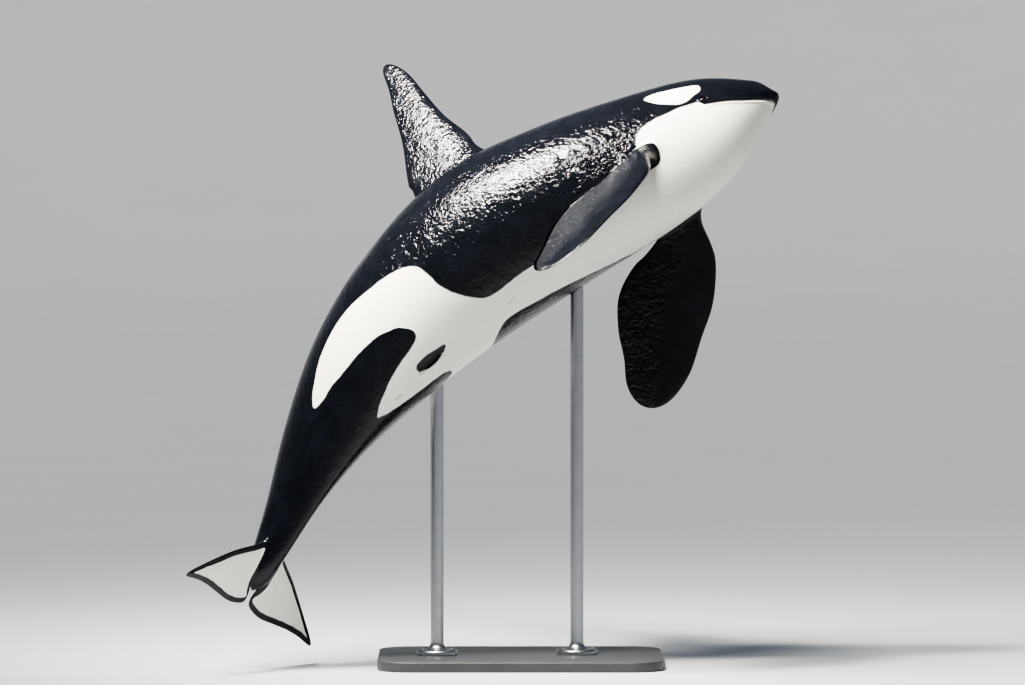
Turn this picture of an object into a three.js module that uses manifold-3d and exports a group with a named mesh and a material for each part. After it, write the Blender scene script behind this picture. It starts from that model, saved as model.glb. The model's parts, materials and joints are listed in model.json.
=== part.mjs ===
// A life-size bull orca, leaping, held over a flat base by two upright rods.
// Units are millimetres, +Z is up and the origin is the middle of the base's underside.
// The animal faces +X, leans its back away from -Y, and arches its tail down.
import * as THREE from "three";
import { mergeVertices } from "three/addons/utils/BufferGeometryUtils.js";
import Module from "manifold-3d";

const wasm = await Module();
wasm.setup();

// Driving sizes of the animal.
const BODY_LENGTH = 7000; // snout tip to the notch between the flukes, along the spine
const SNOUT = { x: 2366, y: 170, z: 5217 }; // the snout tip
const GAP = 0.32; // clearance between two pieces that touch
const FIN_GAP = 0.352; // clearance between a fin and the trunk that it grows from
const CUT_REACH = 3200; // half size of the blocks that part the body

// How the spine runs: share of the length, its slope below level, its swing towards -Y and the roll
// of the back away from -Y, in degrees.
const POSE = [
  { at: 0.0, slope: 25.3, swing: 5, roll: 42 },
  { at: 0.12, slope: 26.2, swing: 4, roll: 42 },
  { at: 0.24, slope: 27.9, swing: 2, roll: 42 },
  { at: 0.36, slope: 31.7, swing: 1, roll: 41 },
  { at: 0.5, slope: 41.2, swing: 4, roll: 41 },
  { at: 0.62, slope: 50.3, swing: 9, roll: 43 },
  { at: 0.75, slope: 59.9, swing: 14, roll: 44 },
  { at: 0.88, slope: 66, swing: 12, roll: 42 },
  { at: 1.0, slope: 63, swing: 6, roll: 38 },
];

// The body's girth: share of the length, then the height above and below the spine line and the
// half width, in thousandths of the length. Keel narrows a section towards its back and belly.
const GIRTH = [
  { at: 0.0, back: 0, belly: 0, side: 0, keel: 1 },
  { at: 0.006, back: 11.5, belly: 9.2, side: 10.5, keel: 0.97 },
  { at: 0.016, back: 29, belly: 13, side: 20.5, keel: 0.95 },
  { at: 0.035, back: 40.5, belly: 28.5, side: 34.5, keel: 0.93 },
  { at: 0.1, back: 70.5, belly: 73, side: 65, keel: 0.95 },
  { at: 0.19, back: 86, belly: 99.5, side: 89, keel: 1 },
  { at: 0.3, back: 106, belly: 103.5, side: 104, keel: 1 },
  { at: 0.42, back: 126, belly: 105, side: 105, keel: 1 },
  { at: 0.54, back: 111, belly: 97, side: 93, keel: 1 },
  { at: 0.66, back: 89, belly: 82.5, side: 71, keel: 1.05 },
  { at: 0.77, back: 62, belly: 60.5, side: 43, keel: 1.15 },
  { at: 0.87, back: 37.5, belly: 37.5, side: 22.5, keel: 1.25 },
  { at: 0.93, back: 26, belly: 24, side: 17, keel: 1.2 },
  { at: 0.975, back: 11, belly: 10, side: 17, keel: 1 },
  { at: 1.0, back: 0, belly: 0, side: 0, keel: 1 },
];
const BODY_RINGS = 46;
const BODY_AROUND = 40;
const RING_CROWDING = 1.5; // how much closer the rings stand towards the snout
const NOTCH_CROWDING = { share: 0.125, power: 8 }; // the same towards the notch

// Where the body is parted, in shares of the length.
const PARTINGS = { chest: 0.156, midbody: 0.318, hindbody: 0.505, tail_stock: 0.715 };

// A smooth curve through rows that have the field "at": a cubic with three-point slopes.
function follow(rows, field, at, warp = (value) => value) {
  const xs = rows.map((row) => warp(row.at));
  const ys = rows.map((row) => row[field]);
  const x = Math.min(Math.max(warp(at), xs[0]), xs[xs.length - 1]);
  let i = 0;
  while (i < xs.length - 2 && x > xs[i + 1]) i++;
  const rise = (k) => (ys[k + 1] - ys[k]) / (xs[k + 1] - xs[k]);
  const slope = (k) => {
    if (k === 0) return rise(0);
    if (k === xs.length - 1) return rise(k - 1);
    const before = xs[k] - xs[k - 1];
    const after = xs[k + 1] - xs[k];
    return (rise(k - 1) * after + rise(k) * before) / (before + after);
  };
  const span = xs[i + 1] - xs[i];
  const t = (x - xs[i]) / span;
  const s = 1 - t;
  return (
    ys[i] * (1 + 2 * t) * s * s +
    ys[i + 1] * t * t * (3 - 2 * t) +
    span * (slope(i) * t * s * s - slope(i + 1) * t * t * s)
  );
}

const degrees = THREE.MathUtils.degToRad;

// The spine's forward, back-ward (dorsal) and right-hand directions at a share of the length.
function directionsAt(at) {
  const slope = degrees(follow(POSE, "slope", at));
  const swing = degrees(follow(POSE, "swing", at));
  const roll = degrees(follow(POSE, "roll", at));
  const forward = new THREE.Vector3(
    Math.cos(slope) * Math.cos(swing),
    Math.sin(swing),
    Math.sin(slope) * Math.cos(swing),
  );
  const upright = new THREE.Vector3(-Math.sin(slope), 0, Math.cos(slope));
  const near = new THREE.Vector3().crossVectors(forward, upright);
  return {
    forward,
    dorsal: upright.clone().multiplyScalar(Math.cos(roll)).addScaledVector(near, -Math.sin(roll)),
    right: near.clone().multiplyScalar(Math.cos(roll)).addScaledVector(upright, Math.sin(roll)),
  };
}

// The spine line, walked once in small steps from the snout to the notch.
const SPINE_STEPS = 400;
const spine = [new THREE.Vector3(SNOUT.x, SNOUT.y, SNOUT.z)];
for (let i = 0; i < SPINE_STEPS; i++) {
  const { forward } = directionsAt((i + 0.5) / SPINE_STEPS);
  spine.push(spine[i].clone().addScaledVector(forward, -BODY_LENGTH / SPINE_STEPS));
}

function frameAt(at) {
  const step = Math.min(Math.max(at, 0), 1) * SPINE_STEPS;
  const i = Math.min(Math.floor(step), SPINE_STEPS - 1);
  return { centre: spine[i].clone().lerp(spine[i + 1], step - i), ...directionsAt(at) };
}

// A point of a frame, given its steps forward, dorsal and to the right.
function pointIn(frame, ahead, up, out) {
  return frame.centre
    .clone()
    .addScaledVector(frame.forward, ahead)
    .addScaledVector(frame.dorsal, up)
    .addScaledVector(frame.right, out);
}

// A section's size at a share of the length, in millimetres. Rows are read against the root of the
// share, so that the snout is round.
function girthAt(at, grow = 0) {
  const read = (field) => (follow(GIRTH, field, at, Math.sqrt) * BODY_LENGTH) / 1000;
  const open = at > 0 && at < 1 ? grow : 0;
  return {
    back: read("back") + open,
    belly: read("belly") + open,
    side: read("side") + open,
    keel: follow(GIRTH, "keel", at),
  };
}

const signedPower = (value, power) => Math.sign(value) * Math.abs(value) ** power;

// A point on the skin. Turn runs from the middle of the back, 0, to the right, and on round.
function skinPoint(at, turn, grow = 0) {
  const { back, belly, side, keel } = girthAt(at, grow);
  const up = Math.cos(turn);
  return pointIn(
    frameAt(at),
    0,
    up * (up > 0 ? back : belly),
    side * signedPower(Math.sin(turn), keel),
  );
}

// A sphere whose rings are carried to the place that place(share, turn) gives.
function loft(rings, around, place) {
  const shape = new THREE.SphereGeometry(1, around, rings);
  const { position, uv } = shape.attributes;
  for (let i = 0; i < position.count; i++) {
    const point = place(1 - uv.getY(i), uv.getX(i) * 2 * Math.PI);
    position.setXYZ(i, point.x, point.y, point.z);
  }
  return shape;
}

function toSolid(geometry) {
  const bare = geometry.clone();
  bare.deleteAttribute("normal");
  bare.deleteAttribute("uv");
  const merged = mergeVertices(bare, 1e-3);
  const triVerts = new Uint32Array(merged.index.array);
  const vertProperties = merged.attributes.position.array;
  const build = () => new wasm.Manifold(new wasm.Mesh({ numProp: 3, vertProperties, triVerts }));
  const solid = build();
  if (solid.volume() > 0) return solid;
  for (let i = 0; i < triVerts.length; i += 3)
    [triVerts[i + 1], triVerts[i + 2]] = [triVerts[i + 2], triVerts[i + 1]];
  return build();
}

// The largest closed surface of a solid.
function largest(solid) {
  const pieces = solid.decompose().sort((a, b) => b.volume() - a.volume());
  return pieces[0];
}

// The solid's surface again, with points closer than WELD drawn together.
const WELD = 0.04;
function toGeometry(solid) {
  const mesh = solid.getMesh();
  const points = new Float32Array(mesh.numVert * 3);
  for (let i = 0; i < mesh.numVert; i++)
    points.set(mesh.vertProperties.subarray(i * mesh.numProp, i * mesh.numProp + 3), i * 3);
  const raw = new THREE.BufferGeometry();
  raw.setAttribute("position", new THREE.BufferAttribute(points, 3));
  raw.setIndex(new THREE.BufferAttribute(mesh.triVerts, 1));
  const geometry = mergeVertices(raw, WELD);
  const corners = Array.from(geometry.index.array);
  const kept = [];
  for (let i = 0; i < corners.length; i += 3) {
    const [a, b, c] = corners.slice(i, i + 3);
    if (a !== b && b !== c && c !== a) kept.push(a, b, c);
  }
  geometry.setIndex(kept);
  geometry.computeVertexNormals();
  return geometry;
}

// The whole trunk, from the snout to the notch, before it is parted.
const ringAt = (share) =>
  (1 + NOTCH_CROWDING.share) * share ** RING_CROWDING -
  NOTCH_CROWDING.share * share ** NOTCH_CROWDING.power;
const trunkShape = (grow) =>
  loft(BODY_RINGS, BODY_AROUND, (share, turn) => skinPoint(ringAt(share), turn, grow));
const trunk = toSolid(trunkShape(0));
const trunkWithGap = toSolid(trunkShape(FIN_GAP));

// A block that holds everything behind a parting.
function behind(at, shift) {
  const frame = frameAt(at);
  const block = new THREE.BoxGeometry(2 * CUT_REACH, 2 * CUT_REACH, 2 * CUT_REACH);
  block.applyMatrix4(
    new THREE.Matrix4()
      .makeBasis(frame.forward, frame.right.clone().negate(), frame.dorsal)
      .setPosition(pointIn(frame, -CUT_REACH + shift, 0, 0)),
  );
  return toSolid(block);
}

// Fins. The first ring of a fin lies flat round its root, sunk in the trunk.
const FIN_RINGS = 13;
const FIN_AROUND = 22;
const FIN_FULLNESS = { middle: 0.64, ahead: 0.36 }; // thickness at mid chord, and its gain ahead

// A fin stands on a root point with its own directions: out along the fin, ahead along its chord
// and face, square to both. Its plan is given by rows along the reach: the middle and the half of
// the chord and the half thickness, in millimetres. Tip is the power that rounds its end.
function finPoint(fin, share, turn) {
  const step = Math.max(share * FIN_RINGS - 1, 0) / (FIN_RINGS - 1);
  const u = fin.sunk + (1 - fin.sunk) * (1 - (1 - step) ** fin.crowding);
  const reach = Math.max(u, 0);
  const close = Math.sqrt(Math.max(1 - reach ** fin.tip, 0)) * (share > 0 ? 1 : 0);
  const middle = follow(fin.plan, "middle", u);
  const half = follow(fin.plan, "half", u) * close;
  const thick = follow(fin.plan, "thick", u) * close;
  const chord = Math.cos(turn);
  const full = FIN_FULLNESS.middle + FIN_FULLNESS.ahead * chord;
  const bend = fin.droop * reach ** 2;
  return fin.root
    .clone()
    .addScaledVector(fin.out, u * fin.reach)
    .addScaledVector(fin.ahead, middle + half * chord)
    .addScaledVector(fin.face, thick * Math.sin(turn) * full + bend);
}

const finSolid = (fin) =>
  toSolid(loft(FIN_RINGS, FIN_AROUND, (share, turn) => finPoint(fin, share, turn)));

// Directions for a fin: out is given, ahead starts as the body's forward and is turned by a twist.
function finDirections(frame, out, twist) {
  const ahead = frame.forward.clone().addScaledVector(out, -frame.forward.dot(out)).normalize();
  ahead.applyAxisAngle(out, degrees(twist));
  const face = new THREE.Vector3().crossVectors(out, ahead).normalize();
  return { out, ahead, face };
}

// The tall dorsal fin of a grown male.
const DORSAL = {
  at: 0.408,
  reach: 1690,
  plan: [
    { at: 0, middle: -48, half: 497, thick: 130 },
    { at: 0.06, middle: -64, half: 438, thick: 92 },
    { at: 0.131, middle: -78, half: 384, thick: 78 },
    { at: 0.235, middle: -52, half: 350, thick: 66 },
    { at: 0.456, middle: -20, half: 238, thick: 52 },
    { at: 0.677, middle: 14, half: 172, thick: 40 },
    { at: 0.867, middle: 50, half: 122, thick: 30 },
    { at: 1, middle: 34, half: 100, thick: 26 },
  ],
};

function dorsalFin() {
  const frame = frameAt(DORSAL.at);
  const { back } = girthAt(DORSAL.at);
  return {
    ...DORSAL,
    root: pointIn(frame, 0, back, 0),
    ...finDirections(frame, frame.dorsal, 0),
    sunk: -0.08,
    crowding: 1.7,
    tip: 12,
    droop: 0,
  };
}

// The broad paddles. Each has its own root, direction and twist, as the pose is not even-handed.
const PADDLE = {
  reach: 1720,
  plan: [
    { at: -0.25, middle: -10, half: 110, thick: 105 },
    { at: -0.1, middle: 30, half: 150, thick: 118 },
    { at: 0.02, middle: 54, half: 184, thick: 112 },
    { at: 0.085, middle: 76, half: 252, thick: 98 },
    { at: 0.16, middle: 64, half: 311, thick: 84 },
    { at: 0.28, middle: 16, half: 391, thick: 69 },
    { at: 0.42, middle: -25, half: 434, thick: 58 },
    { at: 0.6, middle: -40, half: 392, thick: 46 },
    { at: 0.78, middle: -16, half: 332, thick: 37 },
    { at: 0.9, middle: -35, half: 312, thick: 31 },
    { at: 1, middle: -40, half: 290, thick: 27 },
  ],
};
// Back, down and out are shares of the paddle's direction, turn is the root's place round the body.
const PADDLES = {
  flipper_right: { side: 1, at: 0.217, turn: 125, back: 0.678, down: 0.638, out: 0.352, twist: 4 },
  flipper_left: { side: -1, at: 0.192, turn: 130, back: 0.573, down: 0.589, out: 0.569, twist: 0 },
};

function paddle({ side, at, turn, back, down, out, twist }) {
  const frame = frameAt(at);
  const reachOut = frame.forward
    .clone()
    .multiplyScalar(-back)
    .addScaledVector(frame.dorsal, -down)
    .addScaledVector(frame.right, side * out)
    .normalize();
  return {
    ...PADDLE,
    root: skinPoint(at, side * degrees(turn)),
    ...finDirections(frame, reachOut, side * twist),
    sunk: -0.25,
    crowding: 1.5,
    tip: 8,
    droop: side * -60,
  };
}

// The flukes: two blades, each from the tail's side, that meet at the notch.
const FLUKE = {
  at: 0.955,
  reach: 1020,
  plan: [
    { at: 0, middle: -5, half: 312, thick: 64 },
    { at: 0.1, middle: -45, half: 310, thick: 52 },
    { at: 0.25, middle: -102, half: 278, thick: 42 },
    { at: 0.45, middle: -152, half: 214, thick: 33 },
    { at: 0.65, middle: -215, half: 137, thick: 24 },
    { at: 0.85, middle: -295, half: 74, thick: 15 },
    { at: 1, middle: -368, half: 46, thick: 10 },
  ],
};

function fluke(side) {
  const frame = frameAt(FLUKE.at);
  return {
    ...FLUKE,
    root: frame.centre,
    ...finDirections(frame, frame.right.clone().multiplyScalar(side), 0),
    sunk: -0.06,
    crowding: 1.5,
    tip: 9,
    droop: side * -70,
  };
}

// Small forms on the skin.
const PROBE = { at: 0.002, turn: 0.01 }; // steps along and round the skin that find its direction

// The outward direction of the skin.
function skinNormal(at, turn) {
  const along = skinPoint(at + PROBE.at, turn).sub(skinPoint(at - PROBE.at, turn));
  const round = skinPoint(at, turn + PROBE.turn).sub(skinPoint(at, turn - PROBE.turn));
  return along.cross(round).normalize();
}

// The turn at which the right side stands at a height above the spine line, in millimetres.
function turnAtHeight(at, height) {
  const { back, belly } = girthAt(at);
  return Math.acos(THREE.MathUtils.clamp(height / (height > 0 ? back : belly), -1, 1));
}

const STRIP_BLUNTNESS = 0.35; // power that rounds a strip's ends: less is blunter

// A smooth strip along points of the skin, closed at both ends: rows of share and turn, with its
// radius, the sink of its axis below the skin and its step aside from the line.
function strip(rows, { radius, sink = 0, aside = 0, rings = 20, around = 6 }) {
  const seats = rows.map(([at, turn]) => {
    const normal = skinNormal(at, turn);
    return { point: skinPoint(at, turn).addScaledVector(normal, -sink), normal };
  });
  const run = new THREE.CatmullRomCurve3(seats.map((seat) => seat.point), false, "centripetal");
  const tilt = new THREE.CatmullRomCurve3(seats.map((seat) => seat.normal));
  const place = (share, turn) => {
    const along = 0.5 - 0.5 * Math.cos(Math.PI * share);
    const normal = tilt.getPoint(along).normalize();
    const side = new THREE.Vector3().crossVectors(run.getTangent(along), normal).normalize();
    const round = share > 0 && share < 1 ? Math.sin(Math.PI * share) ** STRIP_BLUNTNESS : 0;
    const size = radius * round;
    return run
      .getPoint(along)
      .addScaledVector(normal, size * Math.cos(turn))
      .addScaledVector(side, aside + size * Math.sin(turn));
  };
  return toSolid(loft(rings, around, place));
}

// The mouth, seen from the side: steps from the snout tip along the head's line, and the height of
// the lips' line there. Behind its corner the jaw is parted down and back to the throat.
const MOUTH = [
  { at: 0.0092, height: -74 },
  { at: 0.0126, height: -75 },
  { at: 0.0185, height: -85 },
  { at: 0.03, height: -105 },
  { at: 0.047, height: -117 },
  { at: 0.07, height: -109 },
  { at: 0.099, height: -103 },
];
const THROAT = [
  { at: 0.106, height: -200 },
  { at: 0.124, height: -400 },
  { at: 0.15, height: -900 },
];
const LIPS = { radius: 14, sink: 8, apart: 21, groove: 7 };
const LIP_STEPS = [1, 0.84, 0.66, 0.48, 0.32, 0.2, 0.1, 0.035]; // from the corner to the snout
const JAW = { at: 0.05, ahead: 0.1, below: 900 }; // where the jaw's block is squared, and its reach

// The block that takes the lower jaw out of the head. Its upper and rear faces move out by shift.
function jawBlock(shift) {
  const outline = new THREE.Shape();
  const ahead = (at) => (JAW.at - at) * BODY_LENGTH;
  const front = JAW.ahead * BODY_LENGTH;
  outline.moveTo(front, -JAW.below);
  outline.lineTo(front, MOUTH[0].height + shift);
  for (const { at, height } of MOUTH) outline.lineTo(ahead(at), height + shift);
  for (const { at, height } of THROAT) outline.lineTo(ahead(at) - shift, height);
  const block = new THREE.ExtrudeGeometry(outline, { depth: CUT_REACH, bevelEnabled: false });
  block.translate(0, 0, -CUT_REACH / 2);
  const frame = frameAt(JAW.at);
  block.applyMatrix4(
    new THREE.Matrix4()
      .makeBasis(frame.forward, frame.dorsal, frame.right)
      .setPosition(frame.centre),
  );
  return toSolid(block);
}

// The lips' line runs from the right corner round the snout to the left corner.
const MOUTH_CORNER = 0.099;
function lipRows() {
  const front = MOUTH[0].at;
  const half = LIP_STEPS.map((share) => {
    const at = front + (MOUTH_CORNER - front) * share;
    return [at, turnAtHeight(at, follow(MOUTH, "height", at))];
  });
  const other = half.map(([at, turn]) => [at, 2 * Math.PI - turn]).reverse();
  return [...half, [front, Math.PI], ...other];
}

// The eyes, just above and behind the corners of the mouth, with a lid above and below.
const EYE = { at: 0.097, height: -43, radius: 30, sink: 18 };
const LID = { radius: 9, halfWidth: 46, halfHeight: 25, apart: 4, bow: 0.7 };

function eyeSeat(side) {
  const right = turnAtHeight(EYE.at, EYE.height);
  const turn = side > 0 ? right : 2 * Math.PI - right;
  const normal = skinNormal(EYE.at, turn);
  const centre = skinPoint(EYE.at, turn).addScaledVector(normal, -EYE.sink);
  const { forward } = frameAt(EYE.at);
  const along = forward.clone().addScaledVector(normal, -forward.dot(normal)).normalize();
  const over = new THREE.Vector3().crossVectors(normal, along).multiplyScalar(side);
  return { centre, normal, along, over, turn };
}

function eyeBall(side, radius) {
  const { centre, normal } = eyeSeat(side);
  const ball = new THREE.SphereGeometry(radius, 16, 10);
  ball.applyQuaternion(
    new THREE.Quaternion().setFromUnitVectors(new THREE.Vector3(0, 1, 0), normal),
  );
  ball.translate(centre.x, centre.y, centre.z);
  return toSolid(ball);
}

// A lid is a ridge of the skin that bows over the eye, up for the upper lid and down for the lower.
function eyeLid(side, bow) {
  const { radius, halfWidth, halfHeight, apart } = LID;
  const { turn } = eyeSeat(side);
  const headSide = girthAt(EYE.at).side;
  const rows = [-1, -0.6, -0.2, 0.2, 0.6, 1].map((step) => {
    const lift = apart + halfHeight * (1 - step * step) ** LID.bow;
    return [EYE.at + (step * halfWidth) / BODY_LENGTH, turn - (side * bow * lift) / headSide];
  });
  return strip(rows, { radius, rings: 9, around: 5 });
}

// The blowhole, a crescent whose horns point at the snout, a little left of the middle.
const BLOWHOLE = { at: 0.118, turn: -0.03, halfWidth: 70, depth: 26, radius: 9 };

function blowhole() {
  const { at, turn, halfWidth, depth, radius } = BLOWHOLE;
  const { side } = girthAt(at);
  const rows = [-1, -0.66, -0.33, 0, 0.33, 0.66, 1].map((step) => [
    at + (depth * (0.5 - step * step)) / BODY_LENGTH,
    turn + (step * halfWidth) / side,
  ]);
  return strip(rows, { radius, rings: 7, around: 5 });
}

// Folds along the middle of the belly's pattern, a little right of the mid-belly, as the body is
// twisted there: the navel, the slit of a male and the vent behind it.
const FOLD_TURN = degrees(170);
const FOLDS = [
  { from: 0.447, to: 0.456, radius: 11 },
  { from: 0.578, to: 0.622, radius: 13 },
  { from: 0.662, to: 0.672, radius: 12 },
];

function fold({ from, to, radius }) {
  const rows = [0, 0.25, 0.5, 0.75, 1].map((share) => [from + (to - from) * share, FOLD_TURN]);
  return strip(rows, { radius, rings: 10, around: 6 });
}

// The display stand.
const BASE = { length: 2600, width: 1800, corner: 300, thickness: 90, bevel: 14 };
const ROD = { radius: 60, around: 24, top: 0.5 }; // top: the body's section it first reaches up to
const FOOT = { radius: 190, edge: 28, chamfer: 18, height: 46 };
const FLARE = { width: 70, rise: 70, waist: 21, waistRise: 25 };
const RODS = {
  stand_rod_front: { x: 520, y: 60 },
  stand_rod_rear: { x: -760, y: -20 },
};

function standBase() {
  const { length, width, corner, thickness, bevel } = BASE;
  const x = length / 2 - bevel - corner;
  const y = width / 2 - bevel - corner;
  const outline = new THREE.Shape();
  outline.absarc(x, y, corner, 0, Math.PI / 2);
  outline.absarc(-x, y, corner, Math.PI / 2, Math.PI);
  outline.absarc(-x, -y, corner, Math.PI, 1.5 * Math.PI);
  outline.absarc(x, -y, corner, 1.5 * Math.PI, 2 * Math.PI);
  const slab = new THREE.ExtrudeGeometry(outline, {
    depth: thickness - 2 * bevel,
    bevelSize: bevel,
    bevelThickness: bevel,
    bevelSegments: 2,
    curveSegments: 6,
  });
  slab.translate(0, 0, bevel);
  return toSolid(slab);
}

// An upright rod on a flared foot. It is cut to the body afterwards.
function standRod({ x, y }) {
  const top = frameAt(ROD.top).centre.z;
  const profile = [
    new THREE.Vector2(0, 0),
    new THREE.Vector2(FOOT.radius, 0),
    new THREE.Vector2(FOOT.radius, FOOT.edge),
    new THREE.Vector2(FOOT.radius - FOOT.chamfer, FOOT.height),
    new THREE.Vector2(ROD.radius + FLARE.width, FOOT.height),
    new THREE.Vector2(ROD.radius + FLARE.waist, FOOT.height + FLARE.waistRise),
    new THREE.Vector2(ROD.radius, FOOT.height + FLARE.rise),
    new THREE.Vector2(ROD.radius, top),
    new THREE.Vector2(0, top),
  ];
  const rod = new THREE.LatheGeometry(profile, ROD.around);
  rod.rotateX(Math.PI / 2);
  rod.translate(x, y, BASE.thickness + GAP);
  return toSolid(rod);
}

// Keeps what of a rod stands under the body.
function underBody(rod, body) {
  const clear = rod.subtract(body);
  const pieces = clear.decompose().sort((a, b) => a.boundingBox().min[2] - b.boundingBox().min[2]);
  return pieces[0];
}

// The group of named meshes.
const animal = new THREE.Group();
const FINISHES = {
  black: new THREE.MeshStandardMaterial({ color: 0x0b0c10, roughness: 0.25, metalness: 0 }),
  white: new THREE.MeshStandardMaterial({ color: 0xe9e6dc, roughness: 0.35, metalness: 0 }),
  eye: new THREE.MeshStandardMaterial({ color: 0x1d120c, roughness: 0.05, metalness: 0 }),
  steel: new THREE.MeshStandardMaterial({ color: 0x9a9da1, roughness: 0.35, metalness: 0.9 }),
  stone: new THREE.MeshStandardMaterial({ color: 0x2b2d30, roughness: 0.5, metalness: 0 }),
};

function add(name, solid, finish) {
  const mesh = new THREE.Mesh(toGeometry(solid), FINISHES[finish]);
  mesh.name = name;
  animal.add(mesh);
}

// The trunk takes its lips, lids and folds first, and is then parted from the front to the back.
const lips = [LIPS.apart, -LIPS.apart].map((raise) =>
  strip(lipRows(), { radius: LIPS.radius, sink: LIPS.sink, aside: raise, rings: 28, around: 6 }),
);
const mouthGroove = strip(lipRows(), { radius: LIPS.groove, rings: 28, around: 4 });
let shapedTrunk = trunk;
for (const lip of lips) shapedTrunk = shapedTrunk.add(lip);
for (const side of [1, -1])
  for (const bow of [1, -1]) shapedTrunk = shapedTrunk.add(eyeLid(side, bow));
for (const groove of [mouthGroove, blowhole(), ...FOLDS.map(fold)])
  shapedTrunk = shapedTrunk.subtract(groove);
for (const side of [1, -1])
  shapedTrunk = shapedTrunk.subtract(eyeBall(side, EYE.radius + GAP));

const names = ["head", ...Object.keys(PARTINGS)];
const places = [null, ...Object.values(PARTINGS), null];
names.forEach((name, i) => {
  let piece = shapedTrunk;
  if (places[i] !== null) piece = piece.intersect(behind(places[i], -GAP / 2));
  if (places[i + 1] !== null) piece = piece.subtract(behind(places[i + 1], GAP / 2));
  if (name === "head") {
    add("lower_jaw", largest(piece.intersect(jawBlock(0))), "white");
    piece = piece.subtract(jawBlock(GAP));
  }
  add(name, largest(piece), "black");
});
add("eye_right", eyeBall(1, EYE.radius), "eye");
add("eye_left", eyeBall(-1, EYE.radius), "eye");

add("dorsal_fin", largest(finSolid(dorsalFin()).subtract(trunkWithGap)), "black");
for (const [name, spec] of Object.entries(PADDLES))
  add(name, largest(finSolid(paddle(spec)).subtract(trunkWithGap)), "black");

// Each fluke keeps to its own side of the tail's middle plane.
function sideBlock(side) {
  const frame = frameAt(FLUKE.at);
  const block = new THREE.BoxGeometry(2 * CUT_REACH, 2 * CUT_REACH, 2 * CUT_REACH);
  block.applyMatrix4(
    new THREE.Matrix4()
      .makeBasis(frame.forward, frame.right.clone().negate(), frame.dorsal)
      .setPosition(pointIn(frame, 0, 0, side * (CUT_REACH + GAP / 2))),
  );
  return toSolid(block);
}
for (const [name, side] of [["fluke_right", 1], ["fluke_left", -1]])
  add(
    name,
    largest(finSolid(fluke(side)).intersect(sideBlock(side)).subtract(trunkWithGap)),
    "black",
  );

for (const [name, place] of Object.entries(RODS))
  add(name, underBody(standRod(place), trunkWithGap), "steel");
add("stand_base", standBase(), "stone");

export default animal;
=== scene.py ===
"""A life-size leaping orca on a display stand: its skin, eyes, stand and studio.

Lengths are metres, +Z is up and the origin is the middle of the base's underside.
"""

import json
import math

import bmesh
import bpy
import numpy as np
from mathutils import Matrix, Vector

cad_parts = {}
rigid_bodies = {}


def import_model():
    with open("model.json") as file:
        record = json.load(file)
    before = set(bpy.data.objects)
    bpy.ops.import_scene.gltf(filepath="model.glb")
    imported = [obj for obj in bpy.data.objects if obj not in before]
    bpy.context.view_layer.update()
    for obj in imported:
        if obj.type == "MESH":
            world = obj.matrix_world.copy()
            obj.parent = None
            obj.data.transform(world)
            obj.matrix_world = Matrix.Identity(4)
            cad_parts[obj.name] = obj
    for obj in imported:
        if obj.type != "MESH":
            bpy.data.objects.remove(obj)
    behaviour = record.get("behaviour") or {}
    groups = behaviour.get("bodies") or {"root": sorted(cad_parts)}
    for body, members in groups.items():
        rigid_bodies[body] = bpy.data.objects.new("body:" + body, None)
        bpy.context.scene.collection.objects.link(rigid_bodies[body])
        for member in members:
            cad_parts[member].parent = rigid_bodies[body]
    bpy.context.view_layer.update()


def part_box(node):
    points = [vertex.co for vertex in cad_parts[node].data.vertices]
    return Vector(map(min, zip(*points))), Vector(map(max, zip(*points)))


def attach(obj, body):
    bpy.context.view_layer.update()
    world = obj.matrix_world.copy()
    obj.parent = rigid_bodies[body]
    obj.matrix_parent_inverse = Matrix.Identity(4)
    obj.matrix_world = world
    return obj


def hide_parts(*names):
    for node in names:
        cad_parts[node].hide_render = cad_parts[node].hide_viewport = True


bl_info = {
    "name": "Leaping orca",
    "version": (1, 0, 0),
    "blender": (4, 5, 0),
    "location": "3D View > Sidebar > Orca",
    "description": "Builds the skin, eyes, stand and studio of a life-size leaping orca",
    "category": "Object",
}

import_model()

FLESH = (
    "head", "lower_jaw", "chest", "midbody", "hindbody", "tail_stock", "dorsal_fin",
    "flipper_right", "flipper_left", "fluke_right", "fluke_left",
)

# The spine: share of the length, slope below level, swing towards -Y and roll, in degrees.
SNOUT = (2.366, 0.170, 5.217)
POSE = np.array([
    (0.00, 25.3, 5, 42),
    (0.12, 26.2, 4, 42),
    (0.24, 27.9, 2, 42),
    (0.36, 31.7, 1, 41),
    (0.50, 41.2, 4, 41),
    (0.62, 50.3, 9, 43),
    (0.75, 59.9, 14, 44),
    (0.88, 66.0, 12, 42),
    (1.00, 63.0, 6, 38),
])
# The girth: share of the length, then back, belly and half width in thousandths of it, and keel.
GIRTH = np.array([
    (0.000, 0, 0, 0, 1),
    (0.006, 11.5, 9.2, 10.5, 0.97),
    (0.016, 29, 13, 20.5, 0.95),
    (0.035, 40.5, 28.5, 34.5, 0.93),
    (0.100, 70.5, 73, 65, 0.95),
    (0.190, 86, 99.5, 89, 1),
    (0.300, 106, 103.5, 104, 1),
    (0.420, 126, 105, 105, 1),
    (0.540, 111, 97, 93, 1),
    (0.660, 89, 82.5, 71, 1.05),
    (0.770, 62, 60.5, 43, 1.15),
    (0.870, 37.5, 37.5, 22.5, 1.25),
    (0.930, 26, 24, 17, 1.2),
    (0.975, 11, 10, 17, 1),
    (1.000, 0, 0, 0, 1),
])
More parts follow.
